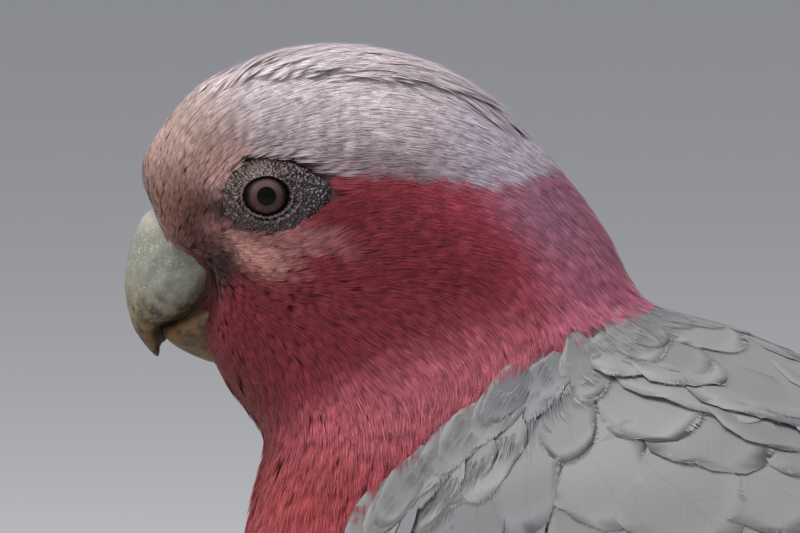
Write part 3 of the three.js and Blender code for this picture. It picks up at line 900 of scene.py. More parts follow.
def joined_mesh(name, points, faces, root, strand, span, uv_centre, smooth_shaded):
    """One mesh from n copies of m points: points, strand and span are (n, m, 3), roots are (n, 3)."""
    copies, per_copy = points.shape[:2]
    mesh = bpy.data.meshes.new(name)
    turned_points = to_model(points.reshape(-1, 3))
    counts = [len(f) for f in faces]
    flat = np.array([v for f in faces for v in f])
    loops = (flat[None, :] + np.arange(copies)[:, None] * per_copy).ravel()
    mesh.vertices.add(copies * per_copy)
    mesh.loops.add(len(loops))
    mesh.polygons.add(copies * len(faces))
    mesh.vertices.foreach_set("co", turned_points.ravel())
    mesh.loops.foreach_set("vertex_index", loops.astype(np.int32))
    starts = np.concatenate([[0], np.cumsum(counts)[:-1]])
    starts = starts[None, :] + np.arange(copies)[:, None] * len(flat)
    mesh.polygons.foreach_set("loop_start", starts.ravel())
    mesh.polygons.foreach_set("use_smooth", np.tile(np.broadcast_to(smooth_shaded, len(faces)), copies))
    mesh.update(calc_edges=True)
    store(mesh, "root", np.repeat(root, per_copy, axis=0))
    store(mesh, "strand", strand.reshape(-1, 3))
    store(mesh, "span", span.reshape(-1, 3))
    spread = np.stack([strand[:, :, 1] * 0.5, strand[:, :, 0] - 0.5], axis=2) * MAP_PATCH
    uv = (uv_centre[:, None, :] + spread)[:, flat]
    mesh.uv_layers.new(name="OFBake").data.foreach_set("uv", uv.astype(np.float32).ravel())
    mesh.validate()
    return mesh


def pieces(name, points, faces, root, strand, span, uv_centre, replaced, paint, smooth_shaded):
    """Cuts a coat into objects of under PIECE_TRIANGLES each."""
    global coat_triangles
    per_copy = sum(len(f) - 2 for f in faces)
    step = PIECE_TRIANGLES // per_copy
    order = np.argsort(root[:, 0], kind="stable")
    for number, start in enumerate(range(0, len(points), step)):
        part = order[start:start + step]
        title = f"{name}_{number + 1}"
        mesh = joined_mesh(title, points[part], faces, root[part], strand[part], span[part], uv_centre[part],
                           smooth_shaded)
        mesh.materials.append(paint)
        piece = placed(title, mesh)
        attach(piece, "root")
        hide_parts(*replaced)
    coat_triangles += per_copy * len(points)
    print(name, len(points), "feathers,", per_copy * len(points), "triangles")


# %% [markdown]
# ## Small feathers
# On the head, neck and breast a feather is mostly loose barbs. Each barb is a thin closed spindle with
# three sides, and a dozen of them spread from one root into a small rounded fan. That keeps the fine
# strokes and dark gaps of the real plumage. A flat card with a picture of barbs would need an image and
# would show its edge.

# %% A spindle, and fans of them
def as_arrays(shape):
    """Points and faces of a bmesh, and which of its faces look up or down."""
    points = np.array([v.co for v in shape.verts])
    faces = [[v.index for v in f.verts] for f in shape.faces]
    level = [abs(f.normal.z) > 0.5 for f in shape.faces]
    shape.free()
    return points, faces, level


def spindle():
    """Points and faces of one barb, from -1 to 1 along z."""
    shape = bmesh.new()
    bmesh.ops.create_uvsphere(shape, u_segments=3, v_segments=2, radius=1.0)
    bmesh.ops.rotate(shape, verts=shape.verts, matrix=Matrix.Rotation(math.radians(90), 3, "Z"))
    return as_arrays(shape)[:2]


SPINDLE, SPINDLE_FACES = spindle()
BARBS = 13
BARB_RISE = 0.03
FAN_ROUNDNESS = 22.0
FAN_TURN = math.radians(6)


def fans(n, half_width, depth, tip_depth, barb_width):
    """Flat layouts of n fans of barbs: along, across, height and strand, each (feathers, points)."""
    m = len(SPINDLE)
    half_width, barb_width = [np.broadcast_to(a, n) for a in (half_width, barb_width)]
    place_in_fan = np.linspace(-1, 1, BARBS)[None, :] + rng.normal(0, 0.3 / BARBS, (n, BARBS))
    root_end = rng.uniform(0.0, 0.3, (n, BARBS))
    tip_end = 1.0 - 0.28 * place_in_fan ** 2 + rng.normal(0, 0.08, (n, BARBS))
    rise = rng.normal(0, 0.03, (n, 1)) + rng.normal(0, 0.025, (n, BARBS))
    t = (SPINDLE[:, 2] + 1) / 2
    along = root_end[:, :, None] + (tip_end - root_end)[:, :, None] * t
    spread = 0.45 + 0.55 * along
    across = place_in_fan[:, :, None] * half_width[:, None, None] * spread
    across = across + SPINDLE[:, 0] * barb_width[:, None, None] * 0.5
    top = depth[:, None, None] * (1 - along) + tip_depth[:, None, None] * along
    height = top * (0.55 + 0.45 * np.sqrt(np.maximum(along, 0))) + rise[:, :, None] * along
    height = height + SPINDLE[:, 1] * BARB_RISE
    chance = np.repeat((0.2 * rng.random((n, 1)) + 0.8 * rng.random((n, BARBS)))[:, :, None], m, axis=2)
    strand = np.stack([along, np.broadcast_to(place_in_fan[:, :, None], along.shape), chance], axis=3)
    flat = [a.reshape(n, BARBS * m) for a in (along, across, height)]
    faces = [[v + b * m for v in f] for b in range(BARBS) for f in SPINDLE_FACES]
    return flat, strand.reshape(n, BARBS * m, 3), faces


def add_fans(name, roots, length, half_width, depth, barb_width, replaced, paint, tip_room=None):
    """Tip_room, if given, works out the coat's depth at the tips from their places and normals."""
    turn = rng.normal(0, FAN_TURN, len(roots))
    length = clear_of_eye(length, walk(roots, length, turn))
    lines = walk(roots, length, turn)
    tip_depth = depth if tip_room is None else tip_room(lines[0][:, -1], lines[1][:, -1])
    (along, across, height), strand, faces = fans(len(roots), half_width, depth, tip_depth, barb_width)
    points = wrapped(lines, along, across, height, FAN_ROUNDNESS)
    span = np.stack([along * length[:, None], across, height], axis=2)
    place, uv = grown_at(roots)
    pieces(name, points, faces, place, strand, span, uv, replaced, paint, smooth_shaded=False)


# %% Room under the crest
crest_tree = surface_tree("crest")


def crest_over(places, ways, reach=8.0):
    """How far the top of the crest stands over places on the skin, or 0."""
    found = [crest_tree.ray_cast(Vector(a + b * reach), Vector(-b), reach) for a, b in zip(places, ways)]
    return np.array([reach - f[3] if f[0] is not None else 0.0 for f in found])


def crest_rise(places, ways, depth):
    """The coat's depth under the crest: up to its solid in the middle, and its own depth at the sides."""
    middle = 1 - smoothstep(np.abs(places[:, 1]), 3.0, 8.5)
    return depth + (np.maximum(crest_over(places, ways), depth) - depth) * middle


# %% The small feathers
q = sample["place"][tuft_roots]
low = 1 - smoothstep(q[:, 2], -80.0, -40.0)
away = smoothstep(from_bill[tuft_roots], 3.0, 30.0)
fan_length = (2.9 + 3.7 * away + 4.0 * low) * rng.uniform(0.8, 1.2, len(q))
fan_length *= 0.6 + 0.4 * smoothstep(-behind_edge(q), 0.0, 7.0)
fan_half_width = (0.8 + 0.9 * away + 1.6 * low) * rng.uniform(0.85, 1.15, len(q))
barb_width = 0.17 + 0.1 * away + 0.32 * low
own_depth = sample["depth"][tuft_roots]
tucked = 0.6 * smoothstep(behind_edge(q), -8.0, -1.0) * smoothstep(np.abs(q[:, 1]), 6.0, 16.0)


def under_the_crest(places, ways, depth):
    return np.maximum(depth, crest_rise(places, ways, depth) - 0.25) + 0.1 - tucked


def small_tip_depth(places, ways):
    return under_the_crest(places, ways, room_at(places))


add_fans("small_feathers", tuft_roots, fan_length, fan_half_width,
         under_the_crest(q, sample["normal"][tuft_roots], own_depth), barb_width,
         ["head", "neck", "trunk", "thigh_left", "thigh_right"], plumage, small_tip_depth)

# %% [markdown]
# ## Vanes
# On the back and wings a feather is a firm vane: a thin plate with a rounded end, whose edge frays into
# loose barbs. The plate is one bmesh grid, extruded to a closed solid, and barbs are set along its edge.
# The stripes of the barbs within the vane are too fine for mesh, so the material draws them.

# %% A plate with a frayed edge
PLATE_COLUMNS, PLATE_ROWS = 6, 8
FRAY_RISE = 0.012
FRAY_HALF_WIDTH = 0.14
FRAY_FROM = 0.97
FRAY_INSET = 0.93
ROUND_SHARE = 0.45


def plate():
    """Points and faces of a flat plate, from -1 to 1 in x and y and from 0 to 1 in z."""
    shape = bmesh.new()
    bmesh.ops.create_grid(shape, x_segments=PLATE_COLUMNS, y_segments=PLATE_ROWS, size=1.0)
    raised = bmesh.ops.extrude_face_region(shape, geom=shape.faces[:], use_keep_orig=True)["geom"]
    bmesh.ops.translate(shape, vec=(0, 0, 1), verts=[v for v in raised if isinstance(v, bmesh.types.BMVert)])
    bmesh.ops.recalc_face_normals(shape, faces=shape.faces[:])
    return as_arrays(shape)


PLATE, PLATE_FACES, PLATE_BROAD = plate()
print("plate:", len(PLATE), "points,", len(PLATE_FACES), "faces")


def outline(along, edge, tip):
    """Half width of a vane as a share of its widest, and how far its end draws back across the width."""
    base = 0.3 + 0.7 * smoothstep(along, 0.0, 0.4)
    end = 1.0 - (1.0 - tip) * smoothstep(along, 0.55, 1.0) ** 1.5
    draw_back = smoothstep(along, 0.35, 1.0) * (1 - np.sqrt(1 - 0.96 * edge ** 2))
    return base * end, draw_back


# %% Vanes, and a frayed edge for each
def vanes(length, half_width, depth, fray, fray_length, tip, arch, thickness=0.16, rise=None, layers=0.08):
    """Flat layouts of vanes with frayed edges, each (feathers, points). Rise is the room at each station."""
    n = len(length)
    s, c, top = (PLATE[:, 1] + 1) / 2, PLATE[:, 0], PLATE[:, 2]
    width_share, back = outline(s, c, tip)
    round_end = (half_width / length)[:, None] * 0.9
    ragged = 1 + rng.normal(0, 0.015, (n, len(PLATE))) * np.abs(c)
    along = s - round_end * back + rng.normal(0, 0.005, (n, len(PLATE))) * s
    across = half_width[:, None] * c * width_share * ragged
    layer = rng.uniform(-layers, layers, (n, 1))

    def rise_at(s):
        if rise is None:
            return depth[:, None] * (0.3 + 0.7 * s)
        station = np.clip(s * (STEPS - 1), 0, STEPS - 1.001)
        low = station.astype(int)
        each = np.arange(n)[:, None]
        share = station - low
        return rise[each, low] * (1 - share) + rise[each, low + 1] * share + depth[:, None] * s

    base_height = rise_at(np.broadcast_to(s, (n, len(PLATE))))

    def height_at(share_across, along_height):
        return along_height + layer - arch * half_width[:, None] * share_across ** 2

    height = height_at(c * width_share, base_height) + top * thickness
    blocks = [(along, across, height, np.broadcast_to(s, along.shape), np.broadcast_to(c, along.shape))]
    faces = list(PLATE_FACES)
    t = SPINDLE[:, 2][None, :]
    for b in range(fray):
        edge = -1 + 2 * (b + rng.uniform(0, 1, n)) / fray
        start = (1.0 - np.maximum(np.abs(edge) - ROUND_SHARE, 0)) * FRAY_FROM
        c_edge = np.clip(edge / ROUND_SHARE, -1, 1)
        w, back = outline(start, c_edge, tip)
        root_along = (start - round_end[:, 0] * back) * length
        root_across = half_width * c_edge * w * FRAY_INSET
        angle = c_edge * rng.uniform(0.45, 0.95, n)
        reach = fray_length * rng.uniform(0.7, 1.3, n)
        out = reach[:, None] * 0.5 * t
        barb_along = (root_along + reach * 0.1)[:, None] + out * np.cos(angle)[:, None]
        barb_across = root_across[:, None] + out * np.sin(angle)[:, None] + SPINDLE[:, 0] * FRAY_HALF_WIDTH
        s_barb = np.clip(barb_along / length[:, None], 0, 1.05)
        c_barb = np.clip(barb_across / half_width[:, None], -1, 1)
        h = height_at(c_barb, rise_at(np.clip(s_barb, 0, 1))) + thickness * 0.7 + SPINDLE[:, 1] * FRAY_RISE
        blocks.append((barb_along / length[:, None], barb_across, h, s_barb, c_barb))
        faces += [[v + len(PLATE) + b * len(SPINDLE) for v in f] for f in SPINDLE_FACES]
    along, across, height, s_all, c_all = [np.concatenate(a, axis=1) for a in zip(*blocks)]
    chance = np.broadcast_to(rng.random((n, 1)), along.shape)
    return (along, across, height), np.stack([s_all, c_all, chance], axis=2), faces


def add_vanes(name, roots, lines, length, half_width, depth, replaced, paint, hug=False, **shape):
    """Roots are places and places on the skin's map, one for each vane."""
    count = len(roots[0])
    length, half_width, depth = [np.broadcast_to(a, count) for a in (length, half_width, depth)]
    (along, across, height), strand, faces = vanes(length, half_width, depth, **shape)
    points = wrapped(lines, along, across, height, BACK_ROUNDNESS if hug else WING_ROUNDNESS, hug)
    span = np.stack([along * length[:, None], across, height], axis=2)
    smooth_faces = np.concatenate([PLATE_BROAD, np.zeros(len(faces) - len(PLATE_FACES), dtype=bool)])
    pieces(name, points, faces, roots[0], strand, span, roots[1], replaced, paint,
           smooth_faces)


# %% [markdown]
# ## Grey feathers
# The back and wing feathers are a soft grey with fine slanting barbs, a thin shaft, and a paler rim. The
# flight feathers are slate and the rump is nearly white. One material does them all: the place of the root
# picks the grey, and the place within the feather draws its stripes and rim.

# %% The material of the vanes
def vane_material(name, base_of, rim_light, stripe):
    made, tree, surface = material(name, 0.62, 0.3, Sheen_Weight=0.1, Sheen_Roughness=0.4)
    span = attribute(tree, "span")
    s, c, chance = parts(attribute(tree, "strand"))
    along, across = parts(span, 2)
    slanted = along - size(across) * 0.8
    wander = noise(span, 0.35, 1.0) * 6.0
    barbs = along.math("SINE", slanted * 11.0 + wander)
    broken = noise(vector(slanted * 2.4, across * 0.12, chance * 50.0), 1.0, 2.0)
    shaft = 1.0 - size(across).ramp(0.12, 0.3)
    rim = s.math("MAXIMUM", s, size(c) * 0.98).ramp(0.72, 0.98)
    light = 0.9 + (chance - 0.5) * 0.16 + barbs * stripe + (broken - 0.5) * 0.14 + rim * rim_light
    # The shaft is a little darker, and the part near the root is painted shade where the feathers before it
    # lie over it.
    light = light - shaft * 0.05 - (1.0 - s.ramp(0.0, 0.45)) * 0.12
    feed(surface, "Base Color", shaded(base_of(tree), light))
    emboss(surface, barbs * 0.25 + broken * 0.6 + shaft, 0.04, 0.0002)
    return made


def grey_colour(tree):
    x, y, z = root_place(tree)
    blotch = noise(vector(x * 0.1, y * 0.1, z * 0.1), 1.3, 2.0)
    pale, slate = srgb(146, 145, 144), srgb(94, 96, 101)
    colour = mix(blotch.ramp(0.3, 0.75), pale, srgb(120, 122, 127))
    colour = mix((x * 0.35 - z).ramp(88.0, 130.0), colour, slate)
    return mix(patch(x, z, (185, -72), (40, 20), -20, 0.5), colour, srgb(196, 195, 196))


def slate_colour(tree):
    return mix(root_place(tree)[0].ramp(150.0, 290.0), srgb(112, 113, 119), srgb(84, 85, 92))


def crest_colour(tree):
    """Pinkish white, with rose in a few of the feathers."""
    colour, _ = plumage_colour(tree)
    s, _, chance = parts(attribute(tree, "strand"))
    flush = (chance - s * 0.2).ramp(0.8, 0.9)
    return mix(flush * 0.8, colour, srgb(150, 84, 92))


# %% Paints of the grey feathers and the crest
crest_barbs = feather_material("crest_barbs", lambda tree: shaded_barb(tree, crest_colour(tree)))
grey_vane = vane_material("grey_vane", grey_colour, 0.17, 0.006)
grey_barbs = feather_material("grey_barbs", lambda tree: shaded_barb(tree, grey_colour(tree)))
flight_vane = vane_material("flight_vane", slate_colour, 0.3, 0.08)
print("nodes in the grey vane:", len(grey_vane.node_tree.nodes))

# %% Back and wing coverts
GREY_PARTS = ["trunk", "wing_left", "wing_right"]
v = sample["place"]
from_edge = behind_edge(v)
grow = smoothstep(from_edge, 2.0, 30.0) * (1 - 0.5 * smoothstep(-v[:, 2] + 0.32 * v[:, 0], 84.0, 104.0))
covert_spacing = 4.0 + 4.6 * grow
ends_x = 135.0 - 0.75 * np.maximum(-v[:, 2] - 60.0, 0.0)
covert_roots = scatter(takes_vanes & ((v[:, 0] < ends_x) | on_back), covert_spacing)
g = grow[covert_roots]
covert_length = (15.0 + 15.0 * g) * rng.uniform(0.9, 1.1, len(g))
covert_half_width = (4.6 + 5.2 * g) * rng.uniform(0.9, 1.1, len(g))
lines = walk(covert_roots, covert_length, rng.normal(0, math.radians(5), len(g)))
SHINGLE_RISE = 0.35
ROOTS_SUNK = np.array([1.4, 0.4, 0.0, 0.0, 0.0])
add_vanes("coverts", grown_at(covert_roots), lines, covert_length, covert_half_width, SHINGLE_RISE,
          GREY_PARTS, grey_vane, hug=True, fray=120, fray_length=2.2, tip=0.82, arch=0.0, thickness=0.06,
          layers=0.06, rise=room_at(lines[0]) - SHINGLE_RISE)

# %% [markdown]
# ## Where the back meets the wings and the neck
# Three more kinds of feather close the coat there. Scapulars are long, and hang over the top edge of the
# wing, with a dark slit under them. A fringe of loose fans lies over the rose border. Down lies under all
# of it, and shows where two feathers part.

# %% Scapulars, which lie over the top edge of each wing
SCAPULARS = 6
OTHER_SIDE = 100.0
SCAPULAR_FRONT, SCAPULAR_BACK = np.array([58.0, -27.0]), np.array([100.0, -30.0])
share = np.linspace(0, 1, SCAPULARS)[:, None]
spots = SCAPULAR_FRONT * (1 - share) + SCAPULAR_BACK * share
scapular_roots = []
for side in (-1, 1):
    for spot in spots:
        gap = np.hypot(v[:, 0] - spot[0], v[:, 2] - spot[1])
        gap += OTHER_SIDE * ((v[:, 1] * side < 0) | ~takes_vanes)
        scapular_roots.append(np.argmin(gap))
scapular_roots = np.array(scapular_roots)
count = len(scapular_roots)
scapular_length = rng.uniform(34.0, 40.0, count)
lines = walk(scapular_roots, scapular_length, rng.normal(0, math.radians(3), count))
add_vanes("scapulars", grown_at(scapular_roots), lines, scapular_length, rng.uniform(7.0, 8.5, count), 0.8,
          GREY_PARTS, grey_vane, hug=True, fray=120, fray_length=2.4, tip=0.75, arch=0.02, thickness=0.06,
          layers=0.03, rise=room_at(lines[0]) - 0.5 - 0.7 * ROOTS_SUNK)

# %% The loose front edge of the mantle
near_rose = takes_vanes & (from_edge < 13.0) & (v[:, 2] > -80)
fringe_roots = scatter(near_rose, 1.5 + 0.1 * np.maximum(from_edge, 0))
count = len(fringe_roots)
add_fans("mantle_fringe", fringe_roots, rng.uniform(6.5, 10.0, count), 2.2,
         sample["depth"][fringe_roots] + 0.35, 0.2, GREY_PARTS, grey_barbs,
         tip_room=lambda places, ways: room_at(places) + 0.25)

# %% Down under the grey feathers and under the rose ones
down_roots = scatter(takes_vanes & (v[:, 0] < 140), 2.8)
add_fans("down", down_roots, rng.uniform(6.0, 9.0, len(down_roots)), 2.6,
         sample["depth"][down_roots] * 0.7, 0.4, GREY_PARTS, grey_barbs)
on_neck = takes_tufts & (from_bill > 5) & (v[:, 2] > -75) & (v[:, 2] < 8)
rose_down_roots = scatter(on_neck, 1.9)
add_fans("rose_down", rose_down_roots, rng.uniform(3.5, 5.0, len(rose_down_roots)), 1.7,
         sample["depth"][rose_down_roots] * 0.75, 0.42, ["head", "neck", "trunk"], plumage)

# %% [markdown]
# ## Feathers laid on the solids
# Flight and tail feathers are long and few, and their outline is the solids' own. Their middle lines are
# straight strokes in the side view, or from above for the tail, dropped onto the wing or tail solid. Their
# roots sink under the coverts.

# %% Strokes dropped onto a solid
def nearest_uv(places):
    """Where places are on the skin's own map."""
    nearest = [np.argmin(((sample["place"] - q) ** 2).sum(1)) for q in places]
    return sample["uv"][nearest]


def dropped(tree, roots, tips, toward, start=80.0):
    """Middle lines from roots to tips, (n, 3) each, dropped along the unit vector toward onto a solid."""
    toward = np.array(toward, dtype=float)
    share = np.linspace(0, 1, STEPS)[None, :, None]
    stroke = roots[:, None] * (1 - share) + tips[:, None] * share
    places, normals = np.empty_like(stroke), np.empty_like(stroke)
    for index in np.ndindex(stroke.shape[:2]):
        origin = Vector(stroke[index] - toward * start)
        found = tree.ray_cast(origin, Vector(toward))
        if found[0] is None:
            found = tree.find_nearest(Vector(stroke[index]))
        places[index], normals[index] = found[0], found[1]
    normals = unit(normals * 0.35 - toward * 0.65)
    ways = unit(np.gradient(places, axis=1))
    sides = unit(np.cross(normals, ways))
    return [places, unit(np.cross(ways, sides)), sides]


def row(count, first_root, last_root, first_tip, last_tip):
    """Roots and tips of a row of feathers, each going evenly from the first to the last."""
    share = np.linspace(0, 1, count)[:, None]
    roots = np.array(first_root) * (1 - share) + np.array(last_root) * share
    return roots, np.array(first_tip) * (1 - share) + np.array(last_tip) * share


# %% Flight feathers of both wings
def add_flight_feathers(side, name):
    tree = surface_tree(name)
    rows = [
        ("primaries", *row(8, (98, 0, -107), (120, 0, -92), (281, 0, -102), (212, 0, -80)), 5.4, 0.15),
        ("secondaries", *row(9, (72, 0, -104), (96, 0, -60), (172, 0, -109), (212, 0, -78)), 7.4, 2.4),
        ("tertials", *row(4, (100, 0, -62), (112, 0, -46), (196, 0, -82), (176, 0, -64)), 8.5, 4.6),
    ]
    for title, roots, tips, half_width, first_layer in rows:
        lines = dropped(tree, roots, tips, (0, -side, 0))
        count = len(roots)
        layer = first_layer * 0.2 + np.linspace(0, 0.2 * count, count)
        lines[0] = lines[0] + lines[1] * (layer[:, None, None] * 0.6 - 1.2 - ROOTS_SUNK[None, :, None])
        length = np.linalg.norm(tips - roots, axis=1)
        roots_on_skin = lines[0][:, 2], nearest_uv(lines[0][:, 0])
        add_vanes(f"{title}_{name[5:]}", roots_on_skin, lines, length, half_width, 0.5, [name], flight_vane,
                  fray=30, fray_length=1.4, tip=0.5, arch=0.04)


add_flight_feathers(-1, "wing_left")
add_flight_feathers(1, "wing_right")

# %% The tail
TAIL_FEATHERS = 12
share = np.linspace(-1, 1, TAIL_FEATHERS)
order = np.abs(share)
tail_roots = np.column_stack([np.full(TAIL_FEATHERS, 186.0), share * 5, -91 - order * 1.5])
tail_tips = np.column_stack([305 - 6 * order ** 2, share * 18.5, -122.5 - order * 1.0])
tail_tree = surface_tree("tail")
lines = dropped(tail_tree, tail_roots, tail_tips, (0, 0, -1))
lines[0] = lines[0] + lines[1] * (0.2 - 2.2 * order[:, None, None])
roots_on_skin = lines[0][:, 2], nearest_uv(lines[0][:, 0])
add_vanes("tail_feathers", roots_on_skin, lines, 120.0, 7.5, 0.4, ["tail"], flight_vane,
          fray=30, fray_length=1.5, tip=0.75, arch=0.03, thickness=0.3)

# %% [markdown]
# ## The crest
# A galah's crest is short. At rest it lies flat over the crown, and shows only as longer, looser feathers
# and a few rose ones. It could be a plate on its own, but that leaves a step round it. So it is laid as
# long fans over the crown: in the middle they rise to the crest's solid, and at the sides they sink into
# the coat.

# %% The crest
crown = (np.abs(v[:, 1]) < 8) & (v[:, 0] > -14) & (v[:, 0] < 34) & (v[:, 2] > 10)
over_crown = np.zeros(len(v))
crown_samples = np.flatnonzero(crown)
over_crown[crown_samples] = crest_over(v[crown_samples], sample["normal"][crown_samples])
crest_roots = scatter(over_crown > 0.5, 1.2)


def crest_depth(places, ways):
    return crest_rise(places, ways, room_at(places)) + 0.05


add_fans("crest_feathers", crest_roots, rng.uniform(10.0, 15.0, len(crest_roots)), 1.7,
         crest_rise(v[crest_roots], sample["normal"][crest_roots], sample["depth"][crest_roots]) + 0.1,
         0.24, ["crest"], crest_barbs, crest_depth)

# %% [markdown]
# ## Bill, feet and claws
# These are hard or scaly and have no feathers. Each is a copy of its solid, remeshed finely and smoothed,
# so that its facets go, while its size stays. Their materials carry the fine detail: growth lines and
# flaking on the horn, scales on the feet.

# %% Smooth copies
def smooth_copy(title, names, voxel, times, paint, swell, balls=()):
    """One smooth piece from some solids, and from balls that fill the gaps between them."""
    shape = bmesh.new()
    for name in names:
        add_swollen(shape, merged_copy(name), swell)
    for centre, radius in balls:
        bmesh.ops.create_icosphere(shape, subdivisions=3, radius=radius, matrix=Matrix.Translation(centre))
    piece = finished(shape, title)
    smooth(remeshed(piece, voxel), times)
    show(piece, paint, names)


# %% Horn and scales
def horn_material():
    made, tree, surface = material("bill_horn", 0.42, 0.5)
    place = attribute(tree, "root")
    x, y, z = parts(place)
    round_bill = square_root((x + 12.0) * (x + 12.0) + (z + 20.0) * (z + 20.0))
    growth = noise(vector(round_bill * 0.7, y * 0.35, z * 0.25), 1.0, 4.0)
    flakes = noise(place, 0.9, 5.0, Distortion=1.5)
    line = 1.0 - size(noise(place, 0.55, 3.0, Distortion=4.0) - 0.5).ramp(0.0, 0.04)
    colour = mix(growth.ramp(0.35, 0.7), srgb(118, 120, 108), srgb(136, 138, 126))
    colour = mix(z.ramp(-8.0, -2.0), colour, srgb(168, 165, 156))
    colour = mix(line * flakes.ramp(0.45, 0.6), colour, srgb(202, 198, 182))
    colour = mix((flakes * 8.0 - z * 0.7 - x * 0.5).ramp(24.0, 31.0) * 0.8, colour, srgb(124, 106, 52))
    stain = (flakes * 11.0 - z + 0.4 * x).ramp(14.0, 22.0)
    colour = mix(stain, colour, srgb(88, 62, 24))
    # Darker low on the bill: partly plant residue, partly painted shade on the lower bill.
    residue_and_shade = noise(place, 0.6, 5.0).ramp(0.4, 0.7)
    colour = mix(residue_and_shade * (0.0 - z).ramp(14.0, 21.0), colour, srgb(34, 24, 13))
    feed(surface, "Base Color", colour)
    feed(surface, "Roughness", 0.38 + stain * 0.25 + line * 0.2)
    emboss(surface, growth * 0.7 + line * 0.5 + flakes * 0.4, 0.5, 0.0003)
    return made


def scale_material():
    made, tree, surface = material("foot_scales", 0.6, 0.4)
    x, y, z = root_place(tree)
    place = vector(x, y, z * 1.6)
    edges = {"feature": "DISTANCE_TO_EDGE"}
    cells = node(tree, "TexVoronoi", edges, {"Vector": place, "Scale": 0.75}, output="Distance")
    scales = cells.ramp(0.02, 0.22)
    colour = mix(noise(place, 0.6, 3.0).ramp(0.3, 0.7), srgb(124, 116, 116), srgb(150, 140, 138))
    feed(surface, "Base Color", mix(scales, srgb(78, 70, 72), colour))
    emboss(surface, scales, 0.7, 0.0004)
    return made


def claw_material():
    made, tree, surface = material("claw_horn", 0.35, 0.5)
    x, y, z = root_place(tree)
    grain = noise(vector(x * 0.4, y * 0.4, z * 2.0), 1.2, 3.0)
    feed(surface, "Base Color", mix(grain.ramp(0.3, 0.7), srgb(52, 48, 48), srgb(84, 78, 74)))
    emboss(surface, grain, 0.3, 0.0002)
    return made


# %% Bill and claws
bill_horn, foot_scales, claw_horn = horn_material(), scale_material(), claw_material()
for name in ("bill_upper", "bill_lower"):
    smooth_copy(name + "_fine", [name], 0.4, 12, bill_horn, 0.25)
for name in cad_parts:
    if name.startswith("claw"):
        smooth_copy(name + "_fine", [name], 0.3, 2, claw_horn, 0.1)

# %% [markdown]
# ## Feet
# Shank and toes are separate solids with gaps between them, but on the bird they are one scaly skin. They
# are remeshed together. A ball under the shank and a few balls toward each toe fill the gaps, and a short
# row of balls at the top takes the shank up into the feathers of the thigh.

# %% Feet
HOCK_BALLS, HOCK_STEP, HOCK_RADIUS = 4, 1.6, 1.9
SOLE_RADIUS, WEB_RADIUS = 3.2, 2.2


def add_foot(side):
    shank = merged_copy("shank_" + side)
    ends = sorted((v.co.copy() for v in shank.verts), key=lambda co: co.z)
    shank.free()
    hock = [(ends[-1] + Vector((0, 0, HOCK_STEP * step - 1.0)), HOCK_RADIUS) for step in range(HOCK_BALLS)]
    sole = ends[0].copy()
    sole.z = max(sole.z, SOLE_RADIUS + 0.1 - EYE_LEVEL)
    toes = [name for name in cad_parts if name.startswith("toe") and name.endswith(side)]
    webs = [(sole, SOLE_RADIUS)]
    for name in toes:
        toe = merged_copy(name)
        inner = min((v.co.copy() for v in toe.verts), key=lambda co: (co - sole).length)
        middle = sum((v.co for v in toe.verts), Vector()) / len(toe.verts)
        toe.free()
        inner = inner + (middle - inner).normalized() * 2.5
        inner.z = max(inner.z, WEB_RADIUS + 0.1 - EYE_LEVEL)
        webs += [(sole.lerp(inner, share), WEB_RADIUS) for share in (0.4, 0.7, 1.0)]
    smooth_copy("foot_" + side, ["shank_" + side] + toes, 0.5, 4, foot_scales, 0.2, hock + webs)


add_foot("left")
add_foot("right")

# %% [markdown]
# ## The eye
# A galah's eye is a dark ball with a thin iris, brown with a little pink in a hen, under a clear and very
# smooth cornea. The ball is painted by the distance from its own axis, with a painted reflection of the sky
# that makes the iris lighter toward its top, and a clear coat gives the cornea's glint.

# %% Eyeballs
PUPIL_RADIUS = 1.72


def eye_material():
    made, tree, surface = material("eye", 0.6, 0.05, Coat_Weight=0.16, Coat_Roughness=0.03)
    x, y = parts(attribute(tree, "gaze"), 2)
    away = square_root(x * x + y * y)
    angle = y.math("ARCTAN2", y, x)
    fibres = noise(vector(angle * 6.0, away * 0.4, 0.0), 1.6, 3.0)
    iris = mix(fibres.ramp(0.3, 0.75), srgb(60, 38, 34), srgb(84, 58, 54))
    # Lighter and pinker toward the top: a painted reflection of the sky in the cornea.
    iris = mix(y.ramp(-1.0, 2.6) * 0.5, iris, srgb(112, 92, 92))
    iris = mix(away.ramp(2.5, 3.3), iris, srgb(9, 5, 5))
    pupil_edge = away.ramp(PUPIL_RADIUS - 0.1, PUPIL_RADIUS + 0.06)
    feed(surface, "Base Color", mix(pupil_edge, srgb(2, 2, 2), iris))
    return made


def add_eye(side, name, paint):
    shape = bmesh.new()
    bmesh.ops.create_uvsphere(shape, u_segments=64, v_segments=48, radius=EYE_RADIUS)
    ball = finished(shape, name + "_ball")
    local = vertex_array(ball.data)
    store(ball.data, "gaze", local)
    straight = np.column_stack([-side * local[:, 0], side * local[:, 2], local[:, 1]])
    straight += EYE_CENTRE * (1, side, 1)
    ball.data.vertices.foreach_set("co", straight.ravel())
    show(ball, paint, [name])


eye_paint = eye_material()
add_eye(-1, "eye_left", eye_paint)
add_eye(1, "eye_right", eye_paint)

# %% [markdown]
# ## Bare skin round the eye
# The ring has no feathers. It is thick grey-mauve skin in rows of small beads that run round the eye, tight
# at the rim of the lids and looser outside, with a point at the back corner. It is made as a ring of
# profiles, one for each angle, with the beads as real relief.

# %% Rings of beaded skin
RING_ANGLES, RING_ROWS = 400, 56
BEAD_ROWS = 12
BEADS_INSIDE, BEADS_OUTSIDE = 46, 84
OPENING = (3.85, 3.3)
RING_UNDER_COAT = 1.05


